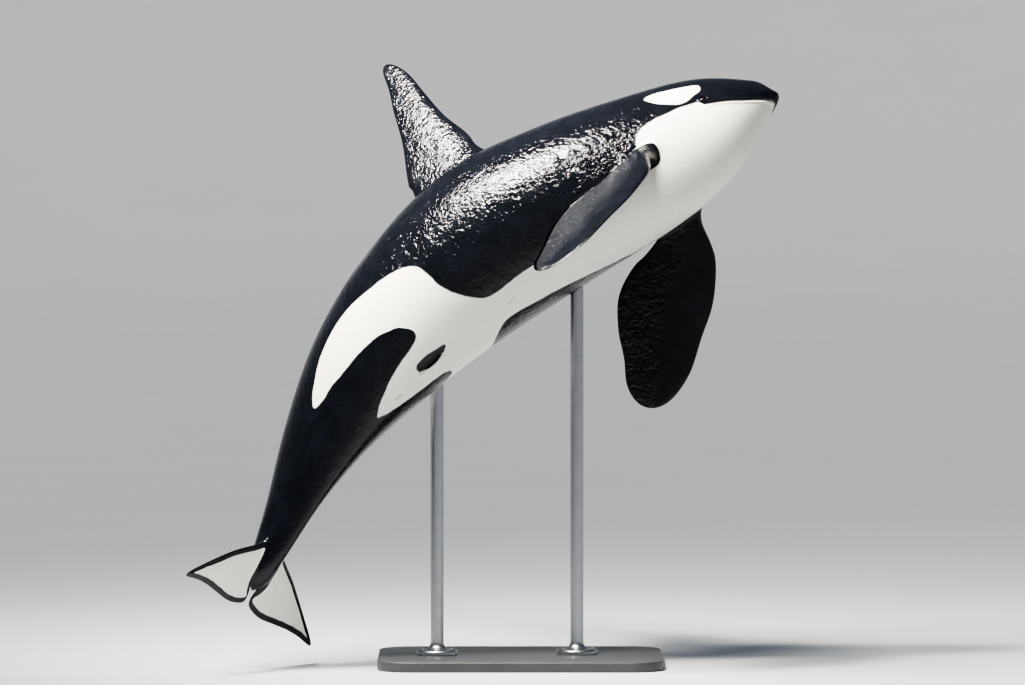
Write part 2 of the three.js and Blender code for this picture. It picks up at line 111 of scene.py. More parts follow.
# A fin's plan: share of the reach, middle and half of the chord and half thickness, in metres.
DORSAL_PLAN = np.array([
    (0.000, -0.048, 0.497, 0.130),
    (0.060, -0.064, 0.438, 0.092),
    (0.131, -0.078, 0.384, 0.078),
    (0.235, -0.052, 0.350, 0.066),
    (0.456, -0.020, 0.238, 0.052),
    (0.677, 0.014, 0.172, 0.040),
    (0.867, 0.050, 0.122, 0.030),
    (1.000, 0.034, 0.100, 0.026),
])
PADDLE_PLAN = np.array([
    (-0.25, -0.010, 0.110, 0.105),
    (-0.10, 0.030, 0.150, 0.118),
    (0.02, 0.054, 0.184, 0.112),
    (0.085, 0.076, 0.252, 0.098),
    (0.16, 0.064, 0.311, 0.084),
    (0.28, 0.016, 0.391, 0.069),
    (0.42, -0.025, 0.434, 0.058),
    (0.60, -0.040, 0.392, 0.046),
    (0.78, -0.016, 0.332, 0.037),
    (0.90, -0.035, 0.312, 0.031),
    (1.00, -0.040, 0.290, 0.027),
])
FLUKE_PLAN = np.array([
    (0.00, -0.005, 0.312, 0.064),
    (0.10, -0.045, 0.310, 0.052),
    (0.25, -0.102, 0.278, 0.042),
    (0.45, -0.152, 0.214, 0.033),
    (0.65, -0.215, 0.137, 0.024),
    (0.85, -0.295, 0.074, 0.015),
    (1.00, -0.368, 0.046, 0.010),
])
SIDES = ("right", 1), ("left", -1)
# The trunk's end draws in between the flukes: from this share of the length, and by how much.
NOTCH_FROM = 0.94
NOTCH_DEPTH = 0.12
# The mouth's line: share of the length and height above the spine line, in metres.
MOUTH = np.array([
    (0.0092, -0.074),
    (0.0126, -0.075),
    (0.0185, -0.085),
    (0.030, -0.105),
    (0.047, -0.117),
    (0.070, -0.109),
    (0.099, -0.103),
])
MOUTH_CORNER = 0.099
# The lips' distance from the mouth's line and width, and the line's depth and width.
LIP_AWAY, LIP_WIDTH = 0.020, 0.0105
LINE_DEPTH, LINE_WIDTH = 0.011, 0.0055
EYE_AT, EYE_HEIGHT, EYE_SINK = 0.097, -0.043, 0.018
# Half the eye's opening: along it, above and below. Lid and crease are in shares of these.
OPENING, OPENING_ABOVE, OPENING_BELOW = 0.038, 0.023, 0.020
LID_AT, LID_WIDTH = 1.22, 0.30
CREASE_AT, CREASE_WIDTH, CREASE_DEPTH = 2.15, 0.18, 0.004
SOCKET_DEPTH = 0.013
BROW, BROW_WIDTH = 0.003, 0.085
CORNEA = 0.035  # how far the eye's front bulges, as a share of its radius
# The blowhole is a bow across the back: half its breadth and how far it bends, in metres.
BLOWHOLE_AT, BLOWHOLE_TURN = 0.118, -0.03
BLOWHOLE_HALF, BLOWHOLE_BEND = 0.07, 0.026
# Folds of the belly, from and to a share of the length: navel, slit and vent.
FOLDS = ((0.447, 0.456), (0.578, 0.622), (0.662, 0.672))
FOLD_TURN = math.radians(170)
# Width and depth of the blowhole and of a fold, and the height of their rims.
BLOWHOLE_CUT, FOLD_CUT = (0.009, 0.014), (0.010, 0.012)
CUT_RIM = 0.007

# The edge of the white underside on the right: share of the length and turn from the mid-back.
UNDERSIDE = (
    (0.1017, 98.8), (0.1054, 97.0), (0.1204, 96.5), (0.1325, 96.4), (0.145, 98.0), (0.165, 99.4),
    (0.178, 101.0), (0.192, 105.0), (0.202, 113.0), (0.213, 124.0), (0.235, 136.0), (0.265, 147.0),
    (0.295, 151.5), (0.335, 154.5), (0.385, 156.0), (0.420, 156.0), (0.453, 157.0), (0.473, 155.8),
    (0.489, 149.5), (0.505, 137.2), (0.5145, 124.2), (0.5155, 114.0), (0.5185, 102.0),
    (0.531, 94.2), (0.549, 88.8), (0.568, 84.8), (0.589, 80.5), (0.609, 75.5), (0.625, 73.0),
    (0.642, 72.0), (0.658, 71.8), (0.674, 72.6), (0.690, 74.8), (0.705, 78.5), (0.722, 82.8),
    (0.737, 89.2), (0.741, 95.0), (0.729, 100.0), (0.7105, 102.2), (0.686, 106.8), (0.665, 110.0),
    (0.645, 112.6), (0.6256, 115.4), (0.6106, 119.3), (0.594, 125.5), (0.5856, 133.8),
    (0.5855, 140.0), (0.5935, 143.6), (0.6135, 146.0), (0.636, 147.5), (0.668, 152.5),
    (0.695, 159.0),
)
UNDERSIDE_END = 0.712
# The line from which the pattern is mirrored: share of the length and turn.
PATTERN_MIDDLE = (
    (0.0, 180.0), (0.20, 180.0), (0.30, 177.0), (0.40, 172.0), (0.48, 170.0), (0.60, 168.0),
    (1.0, 168.0),
)
EYE_PATCH = (
    (0.0917, 75.0), (0.0952, 82.0), (0.1050, 86.0), (0.1170, 92.0), (0.1300, 92.6),
    (0.1437, 88.5), (0.1560, 82.0), (0.1642, 73.5), (0.1600, 69.0), (0.1487, 66.8), (0.1330, 67.6),
    (0.1150, 67.6), (0.1010, 68.2), (0.0928, 69.8),
)
SLIT_STRIPE = (
    (0.5656, 164.5), (0.573, 169.0), (0.5843, 171.6), (0.6031, 172.4), (0.6206, 168.5),
    (0.6195, 161.0), (0.6010, 159.8), (0.5822, 161.8),
)
# The grey saddle behind the back fin, as half of an outline that is mirrored over the back.
SADDLE = (
    (0.462, 0.0), (0.468, 14.0), (0.486, 26.0), (0.512, 38.0), (0.540, 46.0), (0.562, 45.0),
    (0.570, 34.0), (0.558, 20.0), (0.552, 8.0), (0.556, 0.0),
)
NO_SADDLE = -0.3  # distance from the saddle that is taken where there is none

SNOUT_CROWDING = 0.125  # how much closer the skin's rings stand at the snout
HOLE_MARGIN = 0.09  # from the hollow curve of a fin's root to the hole's rim
FLUKE_HOLE = 0.897, 0.997, math.radians(36)  # shares of the length and half the turn
WELD = 2e-5
BATCH = 4000  # points that are measured at once
ARC_STEPS = 12
BOLTS = 6

FLOOR_RADIUS, RIM_HEIGHT = 100.0, 60.0
SUN_FROM = -0.42, -0.28, 0.86
LAMP_PLACE, LAMP_TARGET, LAMP_ALONG = (-2.7, -2.5, 10.7), (0.3, -0.4, 4.3), (0.62, -0.76, 0.18)
LAMP_SIZE = 7.5, 0.42
VIEW_MIDDLE = -0.07, 0.0, 2.95
SENSOR = 36


def setting(name, description, default, kind=bpy.props.FloatProperty, **options):
    return kind(name=name, description=description, default=default, **options)


def size(name, description, default):
    return setting(name, description, default, subtype="DISTANCE", unit="LENGTH")


def steps(name, description, default):
    return setting(name, description, default, bpy.props.IntProperty)


def tint(name, description, *colour):
    kind = bpy.props.FloatVectorProperty
    return setting(name, description, (*colour, 1), kind, subtype="COLOR", size=4)


class OrcaBody(bpy.types.PropertyGroup):
    """Sizes of the animal."""

    length: size("Length", "From the snout to the notch, along the spine", 7.0)
    rings: steps("Rings", "Steps of the skin from the snout to the notch", 184)
    around: steps("Around", "Steps of the skin round the body", 176)
    fin_steps: steps("Fin steps", "Steps of the skin along a fin", 42)
    root_margin: size("Root margin", "Width of the hollow curve round a fin's root", 0.06)
    lip: size("Lip", "How far the lips stand out", 0.007)
    lid: size("Lid", "How far the lids stand out", 0.010)
    eye_radius: size("Eye", "Radius of an eye", 0.030)


class OrcaStand(bpy.types.PropertyGroup):
    """Sizes of the display stand."""

    corner: size("Corner", "Radius of the base's corners", 0.3)
    rod: size("Rod", "Radius of a rod", 0.06)
    foot: size("Foot", "Radius of a rod's foot", 0.19)
    foot_height: size("Foot height", "Height of a rod's foot", 0.046)
    flare: size("Flare", "Radius of the hollow curve between foot and rod", 0.07)


class OrcaColours(bpy.types.PropertyGroup):
    """Colours of the finishes, each with the second one that it is mottled with."""

    black: tint("Black", "The black skin", 0.006, 0.0068, 0.0095)
    black_mottle: tint("Black mottle", "Paler places of the black skin", 0.011, 0.013, 0.020)
    white: tint("White", "The white skin", 0.84, 0.815, 0.75)
    white_mottle: tint("White mottle", "Cooler places of the white skin", 0.77, 0.76, 0.715)
    white_streak: tint("White streak", "Fine grey streaks on the white", 0.62, 0.63, 0.62)
    saddle: tint("Saddle", "The grey saddle", 0.085, 0.090, 0.100)
    eye: tint("Eye", "The iris", 0.05, 0.022, 0.012)
    eye_dark: tint("Dark iris", "Between the veins of the iris", 0.012, 0.006, 0.004)
    pupil: tint("Pupil", "The pupil and what lies round the iris", 0.002, 0.002, 0.003)
    eye_edge: tint("Eye's edge", "The skin at the eye's edge", 0.035, 0.02, 0.018)
    steel: tint("Steel", "The rods", 0.45, 0.46, 0.48)
    steel_smear: tint("Steel smear", "Duller places of the rods", 0.36, 0.37, 0.39)
    coat: tint("Coat", "The base's coat", 0.06, 0.063, 0.068)
    coat_cloud: tint("Coat cloud", "Paler places of the coat", 0.085, 0.088, 0.093)
    floor: tint("Floor", "The studio floor", 0.57, 0.59, 0.62)
    floor_cloud: tint("Floor cloud", "Darker places of the floor", 0.54, 0.56, 0.59)


class OrcaStudio(bpy.types.PropertyGroup):
    """The camera and the light."""

    distance: size("Distance", "From the camera to the middle of the view", 70.0)
    elevation: setting("Elevation", "How far the camera looks down", math.radians(2.5),
                       subtype="ANGLE", unit="ROTATION")
    view_width: size("View width", "Width of the view at the animal", 9.378)
    key: setting("Key", "Strength of the high light", 2.2)
    strip: setting("Strip", "Power of the long lamp over the back", 1200.0,
                   subtype="POWER", unit="POWER")
    sky: setting("Sky", "Strength of the soft light all round", 0.15)
    exposure: setting("Exposure", "Exposure of the picture", 0.05)


def body():
    return bpy.context.scene.orca_body


def stand():
    return bpy.context.scene.orca_stand


def colour(name):
    return tuple(getattr(bpy.context.scene.orca_colours, name))


def follow(table, column, at, warp=None):
    """A smooth cubic through the rows of a table, read at many places."""
    xs, ys = table[:, 0], table[:, column]
    x = np.clip(np.asarray(at, float), xs[0], xs[-1])
    if warp:
        xs, x = warp(xs), warp(x)
    span = np.diff(xs)
    rise = np.diff(ys) / span
    inner = (rise[:-1] * span[1:] + rise[1:] * span[:-1]) / (span[:-1] + span[1:])
    slope = np.concatenate(([rise[0]], inner, [rise[-1]]))
    i = np.clip(np.searchsorted(xs, x) - 1, 0, len(xs) - 2)
    t = (x - xs[i]) / span[i]
    s = 1 - t
    ends = ys[i] * (1 + 2 * t) * s * s + ys[i + 1] * t * t * (3 - 2 * t)
    return ends + span[i] * (slope[i] * t * s * s - slope[i + 1] * t * t * s)


def unit(vectors):
    return vectors / np.maximum(np.linalg.norm(vectors, axis=-1, keepdims=True), 1e-12)


def dot(a, b):
    return (a * b).sum(-1)


def smooth_step(value, low, high):
    t = np.clip((value - low) / (high - low), 0, 1)
    return t * t * (3 - 2 * t)


def directions(at):
    """The spine's forward, dorsal and right-hand directions."""
    slope, swing, roll = (np.radians(follow(POSE, column, at)) for column in (1, 2, 3))
    forward = np.stack(
        (np.cos(slope) * np.cos(swing), np.sin(swing), np.sin(slope) * np.cos(swing)), -1
    )
    upright = np.stack((-np.sin(slope), 0 * slope, np.cos(slope)), -1)
    near = np.cross(forward, upright)
    c, s = np.cos(roll)[..., None], np.sin(roll)[..., None]
    return forward, upright * c - near * s, near * c + upright * s


SPINE_STEPS = 400
SPINE_AT = np.arange(SPINE_STEPS + 1) / SPINE_STEPS
STEPS_FORWARD = directions(SPINE_AT[:-1] + 0.5 / SPINE_STEPS)[0]


def spine():
    walk = np.cumsum(STEPS_FORWARD, 0) * body().length / SPINE_STEPS
    return np.array(SNOUT) - np.vstack((np.zeros(3), walk))


def centre(at):
    line = spine()
    return np.stack([np.interp(at, SPINE_AT, line[:, k]) for k in range(3)], -1)


def girth(at):
    sizes = [follow(GIRTH, k, at, np.sqrt) * body().length / 1000 for k in (1, 2, 3)]
    return (*sizes, follow(GIRTH, 4, at))


def skin_point(at, turn):
    """Points of the skin; turn runs from the mid-back to the right side and on."""
    back, belly, side, keel = girth(at)
    forward, dorsal, right = directions(at)
    up, out = np.cos(turn), np.sin(turn)
    height = up * np.where(up > 0, back, belly)
    width = side * np.sign(out) * np.abs(out) ** keel
    notch = NOTCH_DEPTH * np.clip((np.asarray(at) - NOTCH_FROM) / (1 - NOTCH_FROM), 0, 1) ** 2
    parts = (forward, notch), (dorsal, height), (right, width)
    return centre(at) + sum(axis * size[..., None] for axis, size in parts)


def skin_normal(at, turn, step=0.002, swing=0.01, end=0.0002):
    low, inside, high = (np.clip(at + way, end, 1 - end) for way in (-step, 0, step))
    along = skin_point(high, turn) - skin_point(low, turn)
    across = skin_point(inside, turn + swing) - skin_point(inside, turn - swing)
    return unit(np.cross(along, across))


def trunk_place(points, least=1e-4):
    """Where points stand by the trunk: share of the length, height, step right, turn and
    distance outside it."""
    line = spine()
    nearest = np.argmin(((points[:, None] - line[None]) ** 2).sum(-1), 1)
    forward = directions(SPINE_AT)[0][nearest]
    at = SPINE_AT[nearest] - dot(points - line[nearest], forward) / body().length
    seat = np.clip(at, 0, 1)
    off = points - centre(seat)
    back, belly, side, keel = girth(seat)
    _, dorsal, right = directions(seat)
    up, out = dot(off, dorsal), dot(off, right)
    tall = np.maximum(np.where(up > 0, back, belly), least)
    wide = np.maximum(side, least)
    bow = np.sign(out) * (np.abs(out) / wide) ** (1 / keel)
    share = np.hypot(bow, up / tall)
    beyond = np.maximum(at - 1, 0) * body().length
    return at, up, out, np.arctan2(bow, up / tall), (share - 1) * np.minimum(tall, wide) + beyond


def outside(points):
    """How far points stand outside the trunk, in metres, negative within it."""
    return trunk_place(points.reshape(-1, 3))[4].reshape(points.shape[:-1])


def ring_at(share):
    """Rings stand closer at the snout."""
    return (1 + SNOUT_CROWDING) * share**1.5 - SNOUT_CROWDING * share**8


def share_of(at):
    shares = np.linspace(0, 1, 4001)
    return np.interp(at, ring_at(shares), shares)


def turn_at_height(at, height):
    back, belly, _, _ = girth(at)
    reach = np.where(height > 0, back, belly)
    return np.arccos(np.clip(height / reach, -1, 1))


def mouth_line(count=160):
    """Shares and turns of the mouth's line, from the right corner round the front to the left."""
    step = np.linspace(1, 0, count)
    at = MOUTH[0, 0] + (MOUTH_CORNER - MOUTH[0, 0]) * step**1.5
    turn = turn_at_height(at, follow(MOUTH, 1, at))
    front = np.array([[MOUTH[0, 0], math.pi]])
    right = np.stack((at, turn), 1)
    left = np.stack((at, 2 * math.pi - turn), 1)[::-1]
    return np.concatenate((right, front, left))


class Fin:
    """A blade that stands on a root with its own directions."""

    def __init__(self, name, plan, reach, root, out, forward, twist=0.0, droop=0.0, tip=8):
        self.name, self.plan, self.reach, self.root = name, plan, reach, root
        self.droop, self.tip = droop, tip
        self.out = unit(out)
        ahead = unit(forward - self.out * dot(forward, self.out))
        side = np.cross(self.out, ahead)
        self.ahead = ahead * math.cos(twist) + side * math.sin(twist)
        self.face = unit(np.cross(self.out, self.ahead))
        self.fluke = name.startswith("fluke")
        self.girth = float(girth(trunk_place(root[None])[0][0])[2])
        # Where black skin reaches farther down the root, and how far.
        self.black_side, self.black_reach = 0.0, 0.0
        # How rough the wet film is, and how much calmer at the leading edge.
        self.film, self.calm_front = 0.8, 0.0

    def point(self, u, angle):
        reach = np.maximum(u, 0)
        close = np.sqrt(np.maximum(1 - reach**self.tip, 0))
        middle, half, thick = (follow(self.plan, k, u) for k in (1, 2, 3))
        chord = np.cos(angle)
        along = middle + half * close * chord
        over = thick * close * np.sin(angle) * (0.64 + 0.36 * chord) + self.droop * reach**2
        parts = (self.out, u * self.reach), (self.ahead, along), (self.face, over)
        return self.root + sum(axis * np.asarray(size)[..., None] for axis, size in parts)

    def emerges(self, angle):
        """The share of the reach at which each line along the fin leaves the trunk."""
        steps = np.linspace(self.plan[0, 0], 0.5, 220)
        grid = self.point(steps[None, :], angle[:, None])
        clear = outside(grid) > 0
        last_inside = clear.shape[1] - 1 - np.argmax(~clear[:, ::-1], 1)
        last_inside[clear.all(1)] = 0
        return steps[np.minimum(last_inside + 1, len(steps) - 1)]


def fins():
    """The five fins, with the turn of the root and how the hole for each is set."""
    made = []
    at = np.array(0.408)
    forward, dorsal, _ = directions(at)
    root = skin_point(at, np.array(0.0))
    made.append((Fin("dorsal", DORSAL_PLAN, 1.69, root, dorsal, forward, tip=12), 0.0, None))
    paddles = (
        ("right", 1, 0.217, 125, 0.678, 0.638, 0.352, 4),
        ("left", -1, 0.192, 130, 0.573, 0.589, 0.569, 0),
    )
    for name, side, place, turn, back, down, out, twist in paddles:
        at = np.array(place)
        forward, dorsal, right = directions(at)
        way = -forward * back - dorsal * down + right * side * out
        root = skin_point(at, np.array(side * math.radians(turn)))
        fin = Fin("paddle_" + name, PADDLE_PLAN, 1.72, root, way, forward,
                  side * math.radians(twist), side * -0.06)
        fin.black_side, fin.black_reach = -80.0 * side, 0.06
        fin.film, fin.calm_front = 1.9, 0.85
        made.append((fin, side * math.radians(turn), None))
    at = np.array(0.955)
    forward, dorsal, right = directions(at)
    for name, side in SIDES:
        fin = Fin("fluke_" + name, FLUKE_PLAN, 1.02, centre(at), right * side, forward,
                  0.0, side * -0.07, tip=9)
        fin.film = 0.35
        made.append((fin, side * math.pi / 2, FLUKE_HOLE))
    return made


def catmull(points, steps=8):
    """A smooth closed line through points."""
    p = np.asarray(points, float)
    a, b, c, d = np.roll(p, 1, 0), p, np.roll(p, -1, 0), np.roll(p, -2, 0)
    rows = []
    for t in np.arange(steps) / steps:
        rows.append(
            0.5 * (2 * b + (c - a) * t + (2 * a - 5 * b + 4 * c - d) * t**2
                   + (3 * b - a - 3 * c + d) * t**3)
        )
    return np.stack(rows, 1).reshape(-1, p.shape[1])


def flat_place(at, turn_degrees):
    """Share and turn laid flat in metres, so that distances on the skin can be taken."""
    width = girth(at)[2]
    return np.stack((at * body().length, np.radians(turn_degrees) * np.maximum(width, 0.02)), -1)


def smooth_run(points, steps=6):
    """A smooth open line through points."""
    p = np.asarray(points, float)
    ends = np.concatenate((2 * p[:1] - p[1:2], p, 2 * p[-1:] - p[-2:-1]))
    closed = catmull(ends, steps)
    return closed[steps:-2 * steps + 1]


def edge_distance(at, turn_degrees, outline):
    """Distance in metres from a closed outline, positive within it."""
    line = flat_place(outline[:, 0], outline[:, 1])
    places = flat_place(at, turn_degrees)
    starts, ends = line, np.roll(line, -1, 0)
    way = ends - starts
    length = np.maximum((way**2).sum(-1), 1e-12)
    result = np.empty(len(places))
    for first in range(0, len(places), BATCH):
        p = places[first:first + BATCH, None]
        share = np.clip(dot(p - starts, way) / length, 0, 1)
        gap = np.sqrt((((p - starts) - way * share[..., None]) ** 2).sum(-1)).min(1)
        crosses = (starts[:, 1] > p[..., 1]) != (ends[:, 1] > p[..., 1])
        rise = np.where(ends[:, 1] == starts[:, 1], 1e-12, ends[:, 1] - starts[:, 1])
        cut = starts[:, 0] + (p[..., 1] - starts[:, 1]) * way[:, 0] / rise
        inside = (crosses & (p[..., 0] < cut)).sum(1) % 2 == 1
        result[first:first + BATCH] = np.where(inside, gap, -gap)
    return result


def mirrored_turn(at, turn):
    table = np.array(PATTERN_MIDDLE)
    return 2 * np.interp(at, table[:, 0], table[:, 1]) - turn


def white_edge(at, turn_degrees):
    """Distance in metres from the nearest edge of the white, positive within the white."""
    half = smooth_run(UNDERSIDE)
    mouth = mouth_line(60)
    right = mouth[: len(mouth) // 2 + 1].copy()
    right[:, 1] = np.degrees(right[:, 1])
    right_edge = np.concatenate((right[::-1], half, [[UNDERSIDE_END, PATTERN_MIDDLE[-1][1]]]))
    left_edge = np.stack((right_edge[:, 0], mirrored_turn(right_edge[:, 0], right_edge[:, 1])), 1)
    outline = np.concatenate((right_edge, left_edge[::-1][1:-1]))
    under = edge_distance(at, turn_degrees, outline)
    patch = catmull(EYE_PATCH)
    other = np.stack((patch[:, 0], 360 - patch[:, 1]), 1)
    patches = [edge_distance(at, turn_degrees, outline) for outline in (patch, other)]
    stripe = edge_distance(at, turn_degrees, catmull(SLIT_STRIPE))
    return np.minimum(np.maximum.reduce([under, *patches]), -stripe)


def saddle_edge(at, turn_degrees):
    half = np.array(SADDLE)
    outline = np.concatenate((half, (half * (1, -1))[::-1][1:-1]))
    turn = np.where(turn_degrees > 180, turn_degrees - 360, turn_degrees)
    return edge_distance(at, turn, catmull(outline, 4))


def deselect():
    if bpy.context.object and bpy.context.object.mode != "OBJECT":
        bpy.ops.object.mode_set(mode="OBJECT")
    bpy.ops.object.select_all(action="DESELECT")


def make_active(piece):
    deselect()
    piece.select_set(True)
    bpy.context.view_layer.objects.active = piece


def points_of(piece):
    flat = np.empty(len(piece.data.vertices) * 3)
    piece.data.vertices.foreach_get("co", flat)
    return flat.reshape(-1, 3)


def set_points(piece, points):
    piece.data.vertices.foreach_set("co", np.ascontiguousarray(points, np.float32).ravel())
    piece.data.update()


def add_values(piece, name, values):
    values = np.asarray(values, np.float32)
    vector = values.ndim == 2
    layer = piece.data.attributes.new(name, "FLOAT_VECTOR" if vector else "FLOAT", "POINT")
    layer.data.foreach_set("vector" if vector else "value", values.ravel())


def in_edit(piece, step, kind="FACE"):
    """Runs a step in edit mode on what is selected in the piece."""
    make_active(piece)
    bpy.ops.object.mode_set(mode="EDIT")
    bpy.ops.mesh.select_mode(type=kind)
    step()
    bpy.ops.object.mode_set(mode="OBJECT")


def select_only(piece, points=False, edges=False, faces=False):
    mesh = piece.data
    for group, chosen in ((mesh.vertices, points), (mesh.edges, edges), (mesh.polygons, faces)):
        group.foreach_set("select", np.ones(len(group), bool) & chosen)


def turn_out(piece, weld=0.0):
    """Turns all faces outward, once points closer than the weld are joined."""
    def step():
        bpy.ops.mesh.select_all(action="SELECT")
        if weld:
            bpy.ops.mesh.remove_doubles(threshold=weld)
        bpy.ops.mesh.normals_make_consistent(inside=False)

    in_edit(piece, step, "VERT" if weld else "FACE")


def new_sheet(name, across, along):
    """A flat grid sheet whose x and y run from 0 to 1."""
    deselect()
    bpy.ops.mesh.primitive_grid_add(
        x_subdivisions=across, y_subdivisions=along, size=1, location=(0, 0, 0)
    )
    sheet = bpy.context.object
    sheet.name = sheet.data.name = name
    set_points(sheet, points_of(sheet) + (0.5, 0.5, 0))
    return sheet


def face_centres(sheet):
    flat = np.empty(len(sheet.data.polygons) * 3)
    sheet.data.polygons.foreach_get("center", flat)
    return flat.reshape(-1, 3)


SEAM = math.radians(-40)  # where the flat sheet of the trunk closes round it


def place_of(flat):
    """Share of the length and turn of points on the flat trunk sheet."""
    cells = 64.0 * np.array((body().rings, body().around))
    u, v = (np.round(flat[:, :2] * cells) / cells).T
    return ring_at(u), v * 2 * math.pi + SEAM


def nearest_gap(points, line):
    """Distance from a line of close points, and which of them is nearest."""
    gap = np.empty(len(points))
    which = np.empty(len(points), int)
    for first in range(0, len(points), BATCH):
        far = ((points[first:first + BATCH, None] - line[None]) ** 2).sum(-1)
        which[first:first + BATCH] = far.argmin(1)
        gap[first:first + BATCH] = np.sqrt(far.min(1))
    return gap, which


def fold_line(start, end):
    at = np.linspace(start, end, 24)
    return skin_point(at, np.full(len(at), FOLD_TURN))


def blowhole_line():
    step = np.linspace(-1, 1, 40)
    at = BLOWHOLE_AT + BLOWHOLE_BEND * (0.5 - step**2) / body().length
    _, _, side, _ = girth(np.array(BLOWHOLE_AT))
    return skin_point(at, BLOWHOLE_TURN + step * BLOWHOLE_HALF / side)


def eye_seat(side):
    """Seat of an eye: middle, outward normal, forward and upper directions."""
    at = np.array(EYE_AT)
    turn = side * turn_at_height(at, np.array(EYE_HEIGHT))
    normal = skin_normal(at, turn)
    forward = directions(at)[0]
    along = unit(forward - normal * dot(forward, normal))
    over = np.cross(normal, along) * side
    return skin_point(at, turn), normal, along, over


def refine(sheet):
    """Divides the sheet's faces where small forms lie: at each level, those within a distance."""
    folds = [fold_line(*ends) for ends in FOLDS]
    forms = (
        (skin_point(*mouth_line().T), (0.075, 0.045, 0.024)),
        (np.stack([eye_seat(side)[0] for _, side in SIDES]), (0.105, 0.085, 0.064)),
        (blowhole_line(), (0.075, 0.05, 0.0)),
        (np.concatenate(folds), (0.08, 0.045, 0.0)),
    )
    for level in range(3):
        points = skin_point(*place_of(face_centres(sheet)))
        near = [nearest_gap(points, line)[0] < widths[level] for line, widths in forms]
        select_only(sheet, faces=np.logical_or.reduce(near))
        in_edit(sheet, lambda: bpy.ops.mesh.subdivide(number_cuts=1))


def ridge(distance, middle, width):
    """A rounded ridge, 1 high, round a middle distance."""
    return np.exp(-(((distance - middle) / width) ** 2))


def raised_mouth(points):
    """The lips and the groove of the mouth's line between them, both fading at the corners."""
    line = skin_point(*mouth_line(400).T)
    gap, which = nearest_gap(points, line)
    travelled = np.concatenate(([0], np.cumsum(np.linalg.norm(np.diff(line, axis=0), axis=1))))
    from_corner = np.minimum(travelled, travelled[-1] - travelled)[which]
    fade = smooth_step(from_corner, -0.01, 0.09)
    lips = body().lip * ridge(gap, LIP_AWAY, LIP_WIDTH) * fade
    return lips - LINE_DEPTH * ridge(gap, 0, LINE_WIDTH) * (0.35 + 0.65 * fade)


def raised_eye(points, side):
    """An eye's lids, socket, crease and brow."""
    seat, normal, along, over = eye_seat(side)
    off = points - seat
    x, y = dot(off, along), dot(off, over)
    flat = np.hypot(x, y)
    shape = np.hypot(x / OPENING, y / np.where(y > 0, OPENING_ABOVE, OPENING_BELOW))
    lid = body().lid * ridge(shape, LID_AT, LID_WIDTH)
    crease = CREASE_DEPTH * ridge(shape, CREASE_AT, CREASE_WIDTH) * (0.4 + 0.6 * (y > 0))
    socket = SOCKET_DEPTH * smooth_step(1.0 - shape, 0.0, 0.25)
    near = (flat < 0.2) & (dot(off, normal) > -0.1)
    return np.where(near, lid - crease - socket + BROW * ridge(flat, 0, BROW_WIDTH), 0)


def raised(at, turn):
    """How far small forms lift the skin at places of the trunk."""
    points = skin_point(at, turn)
    lift = sum(raised_eye(points, side) for _, side in SIDES)
    near = at < 0.16
    lift[near] += raised_mouth(points[near])
    cuts = [(blowhole_line(), *BLOWHOLE_CUT)]
    cuts += [(fold_line(*ends), *FOLD_CUT) for ends in FOLDS]
    for line, width, depth in cuts:
        near = ((points > line.min(0) - 0.15) & (points < line.max(0) + 0.15)).all(1)
        gap, _ = nearest_gap(points[near], line)
        rim = CUT_RIM * ridge(gap, 2.3 * width, 1.2 * width)
        lift[near] += rim - depth * ridge(gap, 0, width)
    return lift


def flat_root(fin, middle_turn, points):
    """Points by the trunk laid flat round a fin's root, in metres."""
    at, _, _, turn, _ = trunk_place(points)
    turn = middle_turn + (turn - middle_turn + math.pi) % (2 * math.pi) - math.pi
    return np.stack((at * body().length, turn * fin.girth), 1)


def hole_for(fin, turn, given):
    """Cells of the trunk sheet that make way for a fin: first and last ring and column."""
    rings, around = body().rings, body().around
    if given:
        first, last, half = given
        low, high = turn - half, turn + half
    else:
        angle = np.linspace(0, 2 * math.pi, 90, endpoint=False)
        flat = flat_root(fin, turn, fin.point(fin.emerges(angle), angle))
        margin = body().root_margin + HOLE_MARGIN
        first, low = flat.min(0) - margin
        last, high = flat.max(0) + margin
        first, last = first / body().length, last / body().length
        low, high = low / fin.girth, high / fin.girth
    i0, i1 = math.floor(share_of(first) * rings), math.ceil(share_of(last) * rings)
    if low < SEAM:
        low, high = low + 2 * math.pi, high + 2 * math.pi
    j0 = math.floor((low - SEAM) / (2 * math.pi) * around)
    j1 = math.ceil((high - SEAM) / (2 * math.pi) * around)
    return i0, min(i1, rings - 1), j0, j1


def hole_loop(cells):
    i0, i1, j0, j1 = cells
    corners = (
        [(i, j0) for i in range(i0, i1)] + [(i1, j) for j in range(j0, j1)]
        + [(i, j1) for i in range(i1, i0, -1)] + [(i0, j) for j in range(j1, j0, -1)]
    )
    loop = np.array(corners, float)
    at = ring_at(loop[:, 0] / body().rings)
    turn = loop[:, 1] / body().around * 2 * math.pi + SEAM
    return at, turn


SKIN_STEPS = 5  # rows from the hole's rim to the hollow curve of a fin's root
ROOT_STEPS = 9  # rows of that curve
ROOT_WITHIN, FLUKE_ROOT_WITHIN = 0.86, 0.6  # its foot's reach, as a share of the rim's
ROOT_RISE = 0.9  # its height, as a share of the root's margin
EASE_ROUNDS = 10
BLACK_BEGINS = 0.25  # the fin's black starts this far up the curve
TIP_CROWDING = 1.6


def hermite(start, leave, end, arrive, t):
    return (
        start * (2 * t**3 - 3 * t**2 + 1) + leave * (t**3 - 2 * t**2 + t)
        + end * (3 * t**2 - 2 * t**3) + arrive * (t**3 - t**2)
    )


